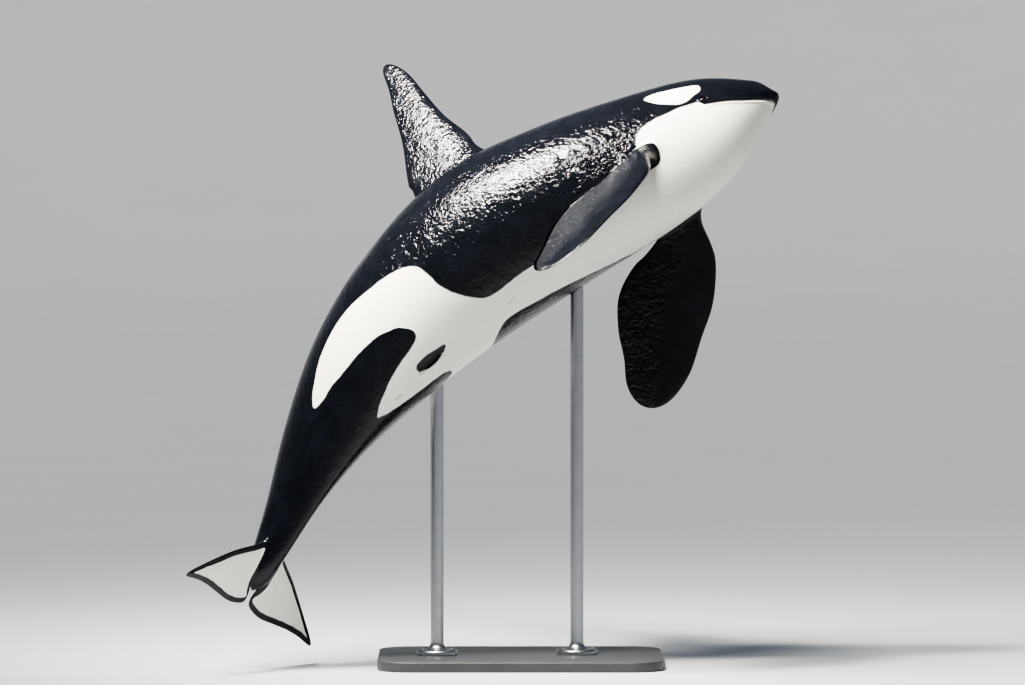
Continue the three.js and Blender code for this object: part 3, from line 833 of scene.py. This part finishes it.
def crossing_at(fin, middle, wanted):
    """Where a fin leaves the trunk: the line of the fin and the reach from the root's middle."""
    fan = np.linspace(0, 2 * math.pi, 360, endpoint=False)
    crossing = flat_root(fin, middle[1] / fin.girth, fin.point(fin.emerges(fan), fan)) - middle
    bearing = np.arctan2(crossing[:, 1], crossing[:, 0])
    angle = np.arctan2(
        np.interp(wanted, bearing, np.sin(fan), period=2 * math.pi),
        np.interp(wanted, bearing, np.cos(fan), period=2 * math.pi),
    )
    reach = np.interp(wanted, bearing, np.linalg.norm(crossing, axis=1), period=2 * math.pi)
    return angle, reach


def fin_sheet(fin, cells):
    """A sheet that grows out of the trunk's hole and closes at the fin's tip."""
    at, turn = hole_loop(cells)
    scale = np.array((body().length, fin.girth))
    rim = np.stack((at, turn), 1) * scale
    middle = (rim.max(0) + rim.min(0)) / 2
    spoke = unit(rim - middle)
    rim_reach = np.linalg.norm(rim - middle, axis=1)
    if fin.fluke:
        half = (rim.max(0) - rim.min(0)) / 2
        angle = np.arctan2(*((middle - rim) / half)[:, ::-1].T)
        reach = FLUKE_ROOT_WITHIN * rim_reach
    else:
        angle, reach = crossing_at(fin, middle, np.arctan2(spoke[:, 1], spoke[:, 0]))
    reach = np.minimum(reach + body().root_margin, ROOT_WITHIN * rim_reach)
    start = np.maximum(fin.emerges(angle) + ROOT_RISE * body().root_margin / fin.reach, 0.0)
    for _ in range(EASE_ROUNDS):
        start, reach = (
            (np.roll(ring, 1) + 2 * ring + np.roll(ring, -1)) / 4 for ring in (start, reach)
        )
    seat = (middle + spoke * reach[:, None]) / scale
    foot = skin_point(seat[:, 0], seat[:, 1])
    normal = skin_normal(seat[:, 0], seat[:, 1])
    end = fin.point(start, angle)
    gap = np.linalg.norm(end - foot, axis=1)[:, None]
    leave = end - foot
    leave = unit(leave - normal * dot(leave, normal)[:, None]) * gap
    arrive = unit(fin.point(start + 0.01, angle) - end) * gap
    places, flow, white, saddle = [], [], [], []
    ahead_under = np.maximum(np.cos(angle - math.radians(fin.black_side)), 0) ** 2
    black_line = BLACK_BEGINS * gap[:, 0] - fin.black_reach * ahead_under
    root_flow = trunk_flow(fin.root[None])[0]
    forward, dorsal, right = directions(trunk_place(fin.root[None])[0])
    fin_begins = SKIN_STEPS + ROOT_STEPS
    for row in range(fin_begins + body().fin_steps + 1):
        grow = min(max((row - SKIN_STEPS) / ROOT_STEPS, 0.0), 1.0)
        u = start
        if row <= SKIN_STEPS:
            t = row / SKIN_STEPS
            place = skin_point(at + (seat[:, 0] - at) * t, turn + (seat[:, 1] - turn) * t)
        elif row <= fin_begins:
            place = hermite(foot, leave, end, arrive, grow)
        else:
            t = (row - fin_begins) / body().fin_steps
            u = start + (1 - start) * (1 - (1 - t) ** TIP_CROWDING)
            place = fin.point(u, angle)
        off = place - fin.root
        own = np.stack((dot(off, forward), dot(off, dorsal), dot(off, right)), 1)
        places.append(place)
        flow.append(trunk_flow(place) * (1 - grow) + (root_flow + own) * grow)
        if grow:
            beyond_line = black_line - grow * gap[:, 0]
        else:
            beyond_line = np.linalg.norm(place - foot, axis=1) + black_line
        white.append(fin_white(fin, place, u, angle, grow, beyond_line))
        saddle.append(fin_saddle(place, grow))
    rows, count = len(places) - 1, len(rim)
    sheet = new_sheet(fin.name, count, rows)
    grid = points_of(sheet)
    i = np.round(grid[:, 0] * count).astype(int) % count
    j = np.round(grid[:, 1] * rows).astype(int)
    set_points(sheet, np.array(places)[j, i])
    film = fin.film * (1 - fin.calm_front * smooth_step(np.cos(angle), -0.35, 0.35))
    values = {
        "flow": np.array(flow)[j, i],
        "white_edge": np.array(white)[j, i],
        "saddle_edge": np.array(saddle)[j, i],
        "loose": np.ones(len(grid)),
        "film": film[i],
        "root": (j > SKIN_STEPS - 1) & (j < fin_begins + 3),
    }
    for name, value in values.items():
        add_values(sheet, name, value)
    return sheet


def trunk_flow(points):
    """Places on the body as if it were straight, for marks that run along it."""
    at, up, out, _, _ = trunk_place(points)
    return np.stack((-at * body().length, up, out), 1)


FLUKE_EDGE, FLUKE_TIP = 0.055, 0.10  # black along a fluke's edges and at its tip, in metres


def fin_white(fin, place, u, angle, grow, beyond_line):
    """The white of a fin's skin: that of the trunk round its root, and the flukes' undersides."""
    at, _, _, turn, _ = trunk_place(place)
    if grow >= 1 and not fin.fluke:
        return np.full(len(angle), -0.08)
    trunk = white_edge(np.clip(at, 0.001, 0.999), np.degrees(turn) % 360)
    if not fin.fluke:
        return np.minimum(np.minimum(trunk, beyond_line), 0.08)
    side = dict(SIDES)[fin.name.split("_")[1]]
    half = follow(fin.plan, 2, u)
    from_edge = half * (1 - np.abs(np.cos(angle))) - FLUKE_EDGE
    from_tip = (1 - u) * fin.reach - FLUKE_TIP
    from_root = (u - 0.02) * fin.reach
    above = -np.abs(half * np.sin(angle)) - 0.02
    under = np.minimum.reduce((from_edge, from_tip, from_root))
    own = np.clip(np.where(np.sin(angle) * side < 0, under, above), -0.08, 0.12)
    share = smooth_step(grow, 0.25, 0.7)
    return trunk * (1 - share) + own * share


def fin_saddle(place, grow):
    """The saddle's grey fades out up a fin's root."""
    if grow >= 1:
        return np.full(len(place), NO_SADDLE)
    at, _, _, turn, _ = trunk_place(place)
    trunk = saddle_edge(np.clip(at, 0.001, 0.999), np.degrees(turn) % 360)
    return np.maximum(trunk, NO_SADDLE) * (1 - grow) + NO_SADDLE * grow


def closed_or_stop(piece):
    check = bmesh.new()
    check.from_mesh(piece.data)
    loose = [edge for edge in check.edges if len(edge.link_faces) != 2]
    place = loose[0].verts[0].co.copy() if loose else None
    check.free()
    if loose:
        raise RuntimeError(f"{piece.name} is open at {len(loose)} edges, one at {place}")


class Wire:
    """A number in a material that can be used in a Python expression."""

    def __init__(self, finish, socket):
        self.finish, self.socket = finish, socket

    def maths(self, operation, *values):
        node = self.finish.node("ShaderNodeMath", {"operation": operation}, dict(enumerate(values)))
        return Wire(self.finish, node.outputs[0])

    def within(self, low, high):
        return self.maths("MINIMUM", self.maths("MAXIMUM", self, low), high)


def overload(name, operation):
    """Lets an operator of Python add a Math node, with a wire on either side."""
    setattr(Wire, f"__{name}__", lambda self, other: self.maths(operation, self, other))
    setattr(Wire, f"__r{name}__", lambda self, other: self.maths(operation, other, self))


overload("add", "ADD")
overload("sub", "SUBTRACT")
overload("mul", "MULTIPLY")
overload("truediv", "DIVIDE")


class Finish:
    """A material and its nodes."""

    def __init__(self, name):
        self.material = bpy.data.materials.new(name)
        self.material.use_nodes = True
        self.tree = self.material.node_tree
        self.tree.nodes.clear()
        self.output = self.tree.nodes.new("ShaderNodeOutputMaterial")

    def node(self, kind, settings=None, values=None):
        """Adds a node: its settings first, then the values or links of its sockets."""
        node = self.tree.nodes.new(kind)
        for key, choice in (settings or {}).items():
            setattr(node, key, choice)
        for key, value in (values or {}).items():
            socket = node.inputs[key]
            value = value.socket if isinstance(value, Wire) else value
            if isinstance(value, bpy.types.NodeSocket):
                self.tree.links.new(value, socket)
            else:
                socket.default_value = value
        return node

    def attribute(self, name):
        return self.node("ShaderNodeAttribute", {"attribute_name": name}).outputs

    def value(self, name):
        return Wire(self, self.attribute(name)["Fac"])

    def place(self):
        return self.node("ShaderNodeTexCoord").outputs["Object"]

    def stretched(self, vector, stretch):
        return self.node(
            "ShaderNodeVectorMath", {"operation": "MULTIPLY"}, {0: vector, 1: stretch}
        ).outputs[0]

    def ramp(self, value, start, width):
        """Rises from 0 to 1 over a width from the start."""
        return ((value - start) / width).within(0.0, 1.0)

    def blend(self, distance, width, middle=0.5):
        """Turns a distance within an edge into a share, soft over a width."""
        return (distance / width + middle).within(0.0, 1.0)

    def noise(self, vector, scale, detail=2.0, rough=0.5, distortion=0.0):
        node = self.node("ShaderNodeTexNoise", {}, {
            "Vector": vector, "Scale": scale, "Detail": detail, "Roughness": rough,
            "Distortion": distortion,
        })
        return Wire(self, node.outputs["Fac"])

    def mix(self, factor, a, b):
        """Mixes two colours, each a socket or the name of a colour."""
        a, b = (colour(side) if isinstance(side, str) else side for side in (a, b))
        values = {0: factor, 6: a, 7: b}
        return self.node("ShaderNodeMix", {"data_type": "RGBA"}, values).outputs[2]

    def bump(self, height, strength, distance):
        values = {"Height": height, "Strength": strength, "Distance": distance}
        return self.node("ShaderNodeBump", {}, values).outputs["Normal"]

    def surface(self, **values):
        shader = self.node(
            "ShaderNodeBsdfPrincipled", {},
            {key.replace("_", " "): value for key, value in values.items()},
        )
        self.tree.links.new(shader.outputs[0], self.output.inputs["Surface"])
        return self.material


def skin_finish():
    """Wet orca skin: black above, white below, with a grey saddle and fine marks."""
    finish = Finish("wet_skin")
    place = finish.place()
    flow = finish.attribute("flow")["Vector"]
    wobble = (finish.noise(place, 5.0, 3.0) - 0.5) * 0.020
    wobble = wobble + (finish.noise(place, 28.0) - 0.5) * 0.006
    white = finish.blend(finish.value("white_edge") + wobble * finish.value("loose"), 0.010)
    hazy = (finish.noise(place, 3.2, 4.0, 0.6) - 0.5) * 0.22
    saddle = finish.blend(finish.value("saddle_edge") + hazy, 0.20, 0.40)
    mottle = finish.noise(place, 7.0, 4.0, 0.6)
    streak = finish.noise(finish.stretched(flow, (3.0, 26.0, 26.0)), 1.0, 3.0, 0.55)
    black = finish.mix(((mottle - 0.45) * 2.0).within(0.0, 0.6), "black", "black_mottle")
    dark = finish.mix(saddle * 0.9, black, "saddle")
    cream = finish.mix(((mottle - 0.42) * 1.6).within(0.0, 0.6), "white", "white_mottle")
    pale = finish.mix(((streak - 0.56) * 2.0).within(0.0, 0.3), cream, "white_streak")
    dry = finish.value("film") * -0.10 + 0.21
    rough = dry + (mottle - 0.5) * 0.14 + white * 0.19 + (streak - 0.5) * 0.14
    film = finish.noise(place, 12.5, 2.0, 0.55, 0.9)
    ripple = finish.noise(place, 31.0, 2.0, 0.55, 0.6)
    pores = finish.noise(place, 160.0, 2.0)
    wet = (1 - white * 0.85) * finish.value("film")
    height = (film * 0.64 + ripple * 0.30) * wet + pores * 0.03
    return finish.surface(
        Base_Color=finish.mix(white, dark, pale),
        Roughness=rough.within(0.06, 0.6),
        Normal=finish.bump(height, 0.6, 0.030),
        IOR=1.42,
    )


def eye_finish():
    """A dark, clear eye with a brown iris; the gaze is the angle from the pupil's middle."""
    finish = Finish("dark_eye")
    gaze = finish.value("gaze")
    veins = finish.noise(finish.place(), 420.0, 3.0)
    iris = finish.ramp(gaze, 0.27, 0.04) * ((0.80 - gaze) / 0.10).within(0.0, 1.0)
    brown = finish.mix((veins - 0.3).within(0.0, 1.0), "eye_dark", "eye")
    inner = finish.mix(iris, "pupil", brown)
    return finish.surface(
        Base_Color=finish.mix(finish.ramp(gaze, 0.86, 0.1), inner, "eye_edge"),
        Roughness=0.12 + veins * 0.06,
        Coat_Weight=1.0,
        Coat_Roughness=0.02,
    )


def steel_finish():
    """Satin steel, brushed round the rod."""
    finish = Finish("brushed_steel")
    place = finish.place()
    brushed = finish.noise(finish.stretched(place, (6.0, 6.0, 420.0)), 1.0, 2.0)
    smear = finish.noise(place, 9.0, 3.0)
    return finish.surface(
        Base_Color=finish.mix(finish.ramp(smear, 0.4, 1 / 1.5), "steel", "steel_smear"),
        Metallic=1.0,
        Roughness=0.26 + brushed * 0.14 + (smear - 0.5) * 0.1,
        Normal=finish.bump(brushed, 0.06, 0.002),
    )


def coat_finish():
    """A satin dark coat with a fine grain."""
    finish = Finish("base_coat")
    place = finish.place()
    grain = finish.noise(place, 260.0, 3.0)
    cloud = finish.noise(place, 2.5, 4.0)
    return finish.surface(
        Base_Color=finish.mix(finish.ramp(cloud, 0.35, 1 / 1.4), "coat", "coat_cloud"),
        Roughness=0.42 + (cloud - 0.5) * 0.2 + (grain - 0.5) * 0.12,
        Normal=finish.bump(grain, 0.12, 0.002),
    )


def floor_finish():
    """Plain pale floor."""
    finish = Finish("pale_floor")
    cloud = finish.noise(finish.place(), 0.35, 3.0)
    return finish.surface(
        Base_Color=finish.mix(finish.ramp(cloud, 0.4, 1 / 1.2), "floor", "floor_cloud"),
        Roughness=0.72 + cloud * 0.1,
    )


def join(piece, others):
    make_active(piece)
    for other in others:
        other.select_set(True)
    bpy.ops.object.join()


def settle(piece):
    """Puts a piece's place, turn and scale into its points."""
    make_active(piece)
    bpy.ops.object.transform_apply(location=True, rotation=True, scale=True)


def finish_piece(piece, name, material):
    """Names a piece and gives it its material."""
    piece.name = piece.data.name = name
    piece.data.materials.clear()
    piece.data.materials.append(material)


class ORCA_OT_skin(bpy.types.Operator):
    """Make the one skin of the trunk, fins and flukes"""

    bl_idname = "orca.skin"
    bl_label = "Skin"

    def execute(self, context):
        sheet = new_sheet("orca_skin", body().rings, body().around)
        refine(sheet)
        made = [(fin, hole_for(fin, turn, given)) for fin, turn, given in fins()]
        i, j = (face_centres(sheet) * (body().rings, body().around, 1)).T[:2]
        chosen = np.zeros(len(i), bool)
        for _, (i0, i1, j0, j1) in made:
            chosen |= (i > i0) & (i < i1) & (j > j0) & (j < j1)
        select_only(sheet, faces=chosen)
        in_edit(sheet, lambda: bpy.ops.mesh.delete(type="FACE"))

        at, turn = place_of(points_of(sheet))
        points = skin_point(at, turn) + skin_normal(at, turn) * raised(at, turn)[:, None]
        turn_degrees = np.degrees(turn) % 360
        mouth = mouth_line(200)
        gap, _ = nearest_gap(points, skin_point(mouth[:, 0], mouth[:, 1]))
        set_points(sheet, points)
        values = {
            "flow": trunk_flow(points),
            "white_edge": white_edge(at, turn_degrees),
            "saddle_edge": saddle_edge(at, turn_degrees),
            "loose": smooth_step(gap, 0.01, 0.12),
            "film": 0.25 + 0.75 * smooth_step(at, 0.09, 0.2) - 0.6 * smooth_step(at, 0.55, 0.8),
            "root": np.zeros(len(at)),
        }
        for name, value in values.items():
            add_values(sheet, name, value)

        parts = [fin_sheet(fin, cells) for fin, cells in made]
        join(sheet, parts)
        turn_out(sheet, WELD)
        closed_or_stop(sheet)
        ease_roots(sheet)
        bpy.ops.object.shade_smooth()
        finish_piece(sheet, "orca_skin", skin_finish())
        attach(sheet, "root")
        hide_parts(*FLESH)
        return {"FINISHED"}


def ease_roots(sheet):
    """Smooths the skin where a fin grows out of the trunk."""
    values = np.empty(len(sheet.data.vertices), np.float32)
    sheet.data.attributes["root"].data.foreach_get("value", values)
    select_only(sheet, points=values > 0)

    def smooth():
        bpy.ops.mesh.select_more()
        bpy.ops.mesh.vertices_smooth(factor=0.5, repeat=6)

    in_edit(sheet, smooth, "VERT")
    sheet.data.attributes.remove(sheet.data.attributes["root"])


class ORCA_OT_eyes(bpy.types.Operator):
    """Make the two eyes"""

    bl_idname = "orca.eyes"
    bl_label = "Eyes"

    def execute(self, context):
        material = eye_finish()
        for name, side in SIDES:
            seat, normal, _, _ = eye_seat(side)
            deselect()
            radius = body().eye_radius
            bpy.ops.mesh.primitive_uv_sphere_add(
                segments=48, ring_count=32, radius=radius, location=(0, 0, 0)
            )
            eye = bpy.context.object
            ball = points_of(eye)
            gaze = np.arccos(np.clip(ball[:, 2] / radius, -1, 1))
            add_values(eye, "gaze", gaze)
            ball *= (1 + CORNEA * smooth_step(0.62 - gaze, 0.0, 0.3))[:, None]
            turn = Vector((0, 0, 1)).rotation_difference(Vector(normal)).to_matrix()
            set_points(eye, ball @ np.array(turn).T + seat - normal * EYE_SINK)
            bpy.ops.object.shade_smooth()
            finish_piece(eye, "eyeball_" + name, material)
            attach(eye, "root")
            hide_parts("eye_" + name)
        return {"FINISHED"}


def box_of(node):
    low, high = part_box(node)
    return np.array(low), np.array(high)


def under_skin(x, y):
    """Height of the trunk's underside over places of the floor."""
    at = np.linspace(0.1, 0.9, 900)
    turn = np.radians(np.linspace(90, 270, 361))
    points = skin_point(*(grid.ravel() for grid in np.meshgrid(at, turn, indexing="ij")))
    heights = []
    for px, py in zip(x, y):
        close = np.hypot(points[:, 0] - px, points[:, 1] - py) < 0.012
        heights.append(points[close, 2].min() if close.any() else np.nan)
    return np.array(heights)


def rod_profile():
    """Heights and radii of a rod's foot: its rounded edges, top and hollow curve."""
    foot, top, flare = stand().foot, stand().foot_height, stand().flare
    edge = ((0.0, 0.004), (0.004, 0.0), (0.026, 0.0), (0.034, 0.003), (0.044, 0.014), (top, 0.020))
    profile = [(level, foot - inset) for level, inset in edge]
    profile.append((top, stand().rod + flare + 0.002))
    for step in range(1, ARC_STEPS + 1):
        swing = step / ARC_STEPS * math.pi / 2
        profile.append((
            top + flare * (1 - math.cos(swing)), stand().rod + flare * (1 - math.sin(swing))
        ))
    return profile


class ORCA_OT_rods(bpy.types.Operator):
    """Make the two rods with their flared feet"""

    bl_idname = "orca.rods"
    bl_label = "Rods"

    def execute(self, context):
        material = steel_finish()
        for name in ("front", "rear"):
            low, high = box_of("stand_rod_" + name)
            x, y = (low[:2] + high[:2]) / 2
            base = low[2]
            (last, radius), *rest = rod_profile()
            deselect()
            bpy.ops.mesh.primitive_circle_add(
                vertices=72, radius=radius, fill_type="NGON", location=(x, y, base)
            )
            rod = bpy.context.object

            def grow(last=last, radius=radius):
                bpy.ops.mesh.select_all(action="SELECT")
                for level, wider in rest:
                    move = {"value": (0, 0, level - last)}
                    bpy.ops.mesh.extrude_region_move(TRANSFORM_OT_translate=move)
                    share = wider / radius
                    bpy.ops.transform.resize(
                        value=(share, share, 1), center_override=(x, y, base + level)
                    )
                    last, radius = level, wider
                move = {"value": (0, 0, high[2] - base - last)}
                bpy.ops.mesh.extrude_region_move(TRANSFORM_OT_translate=move)

            in_edit(rod, grow)
            settle(rod)
            points = points_of(rod)
            top = points[:, 2] > high[2] - 0.01
            points[top, 2] = under_skin(points[top, 0], points[top, 1]) + 0.004
            set_points(rod, points)
            add_bolts(rod, x, y, base + stand().foot_height)
            turn_out(rod)
            bpy.ops.object.shade_smooth_by_angle(angle=math.radians(35))
            finish_piece(rod, "rod_" + name, material)
            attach(rod, "root")
            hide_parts("stand_rod_" + name)
        return {"FINISHED"}


def add_bolts(rod, x, y, level):
    """Bolts with hexagonal heads on a rod's foot."""
    reach = (stand().foot + stand().rod + stand().flare) / 2 - 0.004
    bolts = []
    for step in range(BOLTS):
        swing = 2 * math.pi * step / BOLTS + math.radians(15)
        place = x + reach * math.cos(swing), y + reach * math.sin(swing), level + 0.006
        deselect()
        bpy.ops.mesh.primitive_cylinder_add(vertices=6, radius=0.017, depth=0.014, location=place)
        bolt = bpy.context.object
        settle(bolt)
        bevel = bolt.modifiers.new("edge", "BEVEL")
        bevel.width, bevel.segments = 0.002, 2
        bpy.ops.object.modifier_apply(modifier=bevel.name)
        bolts.append(bolt)
    join(rod, bolts)


class ORCA_OT_base(bpy.types.Operator):
    """Make the base plate"""

    bl_idname = "orca.base"
    bl_label = "Base"

    def execute(self, context):
        low, high = box_of("stand_base")
        deselect()
        bpy.ops.mesh.primitive_cube_add(size=1, location=tuple((low + high) / 2))
        plate = bpy.context.object
        plate.scale = tuple(high - low)
        settle(plate)
        for upright, width, segments in ((True, stand().corner, 14), (False, 0.012, 4)):
            points = points_of(plate)
            ends = np.array([edge.vertices[:] for edge in plate.data.edges])
            rise = np.abs(points[ends[:, 0], 2] - points[ends[:, 1], 2])
            select_only(plate, edges=rise > 0.01 if upright else rise < 1e-5)
            in_edit(plate, lambda: bpy.ops.mesh.bevel(
                offset=width, segments=segments, affect="EDGES", clamp_overlap=False
            ), "EDGE")
        turn_out(plate)
        bpy.ops.object.shade_smooth_by_angle(angle=math.radians(40))
        finish_piece(plate, "base_plate", coat_finish())
        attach(plate, "root")
        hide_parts("stand_base")
        return {"FINISHED"}


class ORCA_OT_studio(bpy.types.Operator):
    """Make the floor, the light and the camera"""

    bl_idname = "orca.studio"
    bl_label = "Studio"

    def execute(self, context):
        make_floor()
        make_light()
        make_camera()
        return {"FINISHED"}


def make_floor():
    """A round floor whose rim rises far behind the animal."""
    deselect()
    bpy.ops.mesh.primitive_circle_add(
        vertices=128, radius=FLOOR_RADIUS, fill_type="NGON", location=(0, 0, -0.002)
    )
    floor = bpy.context.object
    floor.name = floor.data.name = "studio_floor"

    def rise():
        bpy.ops.mesh.select_all(action="SELECT")
        radius, height = FLOOR_RADIUS, 0.0
        for step in range(1, ARC_STEPS + 1):
            swing = step / ARC_STEPS * math.pi / 2
            wider = FLOOR_RADIUS + RIM_HEIGHT * math.sin(swing)
            higher = RIM_HEIGHT * (1 - math.cos(swing))
            move = {"value": (0, 0, higher - height)}
            bpy.ops.mesh.extrude_edges_move(TRANSFORM_OT_translate=move)
            share = wider / radius
            bpy.ops.transform.resize(value=(share, share, 1), center_override=(0, 0, higher))
            radius, height = wider, higher

    in_edit(floor, rise, "EDGE")
    bpy.ops.object.shade_smooth()
    bpy.ops.object.transform_apply(location=True, rotation=True, scale=True)
    floor.data.materials.append(floor_finish())


def make_light():
    """Soft light all round, a high sun and a long lamp over the back, square to what it lights."""
    scene = bpy.context.scene
    studio = scene.orca_studio
    scene.view_settings.view_transform = "AgX"
    scene.view_settings.look = "AgX - High Contrast"
    scene.view_settings.exposure = studio.exposure
    world = bpy.data.worlds.new("studio_sky")
    world.use_nodes = True
    sky = world.node_tree.nodes["Background"]
    sky.inputs["Color"].default_value = (0.66, 0.80, 1.0, 1)
    sky.inputs["Strength"].default_value = studio.sky
    scene.world = world

    sun = new_light("key", "SUN", (0, 0, 12), studio.key, (1.0, 0.95, 0.86))
    sun.data.angle = math.radians(7)
    sun.rotation_euler = Vector(SUN_FROM).to_track_quat("Z", "Y").to_euler()

    lamp = new_light("top_strip", "AREA", LAMP_PLACE, studio.strip, (1.0, 0.96, 0.89))
    lamp.data.shape = "RECTANGLE"
    lamp.data.size, lamp.data.size_y = LAMP_SIZE
    lamp.data.spread = math.radians(100)
    away = (Vector(LAMP_PLACE) - Vector(LAMP_TARGET)).normalized()
    along = Vector(LAMP_ALONG)
    along = (along - away * away.dot(along)).normalized()
    lamp.rotation_euler = Matrix((along, away.cross(along), away)).transposed().to_euler()


def new_light(name, kind, place, energy, shade):
    deselect()
    bpy.ops.object.light_add(type=kind, location=place)
    light = bpy.context.object
    light.name = name
    light.data.energy, light.data.color = energy, shade
    return light


def make_camera():
    studio = bpy.context.scene.orca_studio
    look = Vector((0, math.cos(studio.elevation), -math.sin(studio.elevation)))
    deselect()
    bpy.ops.object.camera_add(location=tuple(Vector(VIEW_MIDDLE) - look * studio.distance))
    camera = bpy.context.object
    camera.name = "photo_view"
    camera.rotation_euler = (math.pi / 2 - studio.elevation, 0, 0)
    camera.data.sensor_fit = "HORIZONTAL"
    camera.data.sensor_width = SENSOR
    camera.data.lens = SENSOR * studio.distance / studio.view_width
    camera.data.clip_end = 600
    bpy.context.scene.camera = camera


class ORCA_PT_panel(bpy.types.Panel):
    """Lists the pieces of the orca"""

    bl_idname = "ORCA_PT_panel"
    bl_label = "Orca"
    bl_space_type = "VIEW_3D"
    bl_region_type = "UI"
    bl_category = "Orca"

    def draw(self, context):
        for operator in OPERATORS:
            self.layout.operator(operator.bl_idname)
        for group in ("orca_body", "orca_stand", "orca_colours", "orca_studio"):
            box = self.layout.box()
            settings = getattr(context.scene, group)
            for name in settings.bl_rna.properties.keys():
                if name not in ("rna_type", "name"):
                    box.prop(settings, name)


GROUPS = {
    "orca_body": OrcaBody,
    "orca_stand": OrcaStand,
    "orca_colours": OrcaColours,
    "orca_studio": OrcaStudio,
}
OPERATORS = (ORCA_OT_skin, ORCA_OT_eyes, ORCA_OT_rods, ORCA_OT_base, ORCA_OT_studio)


def register():
    for cls in (*GROUPS.values(), *OPERATORS, ORCA_PT_panel):
        bpy.utils.register_class(cls)
    for name, group in GROUPS.items():
        setattr(bpy.types.Scene, name, bpy.props.PointerProperty(type=group))


def unregister():
    for name in GROUPS:
        delattr(bpy.types.Scene, name)
    for cls in reversed((*GROUPS.values(), *OPERATORS, ORCA_PT_panel)):
        bpy.utils.unregister_class(cls)


def main():
    register()
    deselect()
    bpy.ops.orca.skin()
    bpy.ops.orca.eyes()
    bpy.ops.orca.rods()
    bpy.ops.orca.base()
    bpy.ops.orca.studio()
    deselect()


if __name__ == "__main__":
    main()
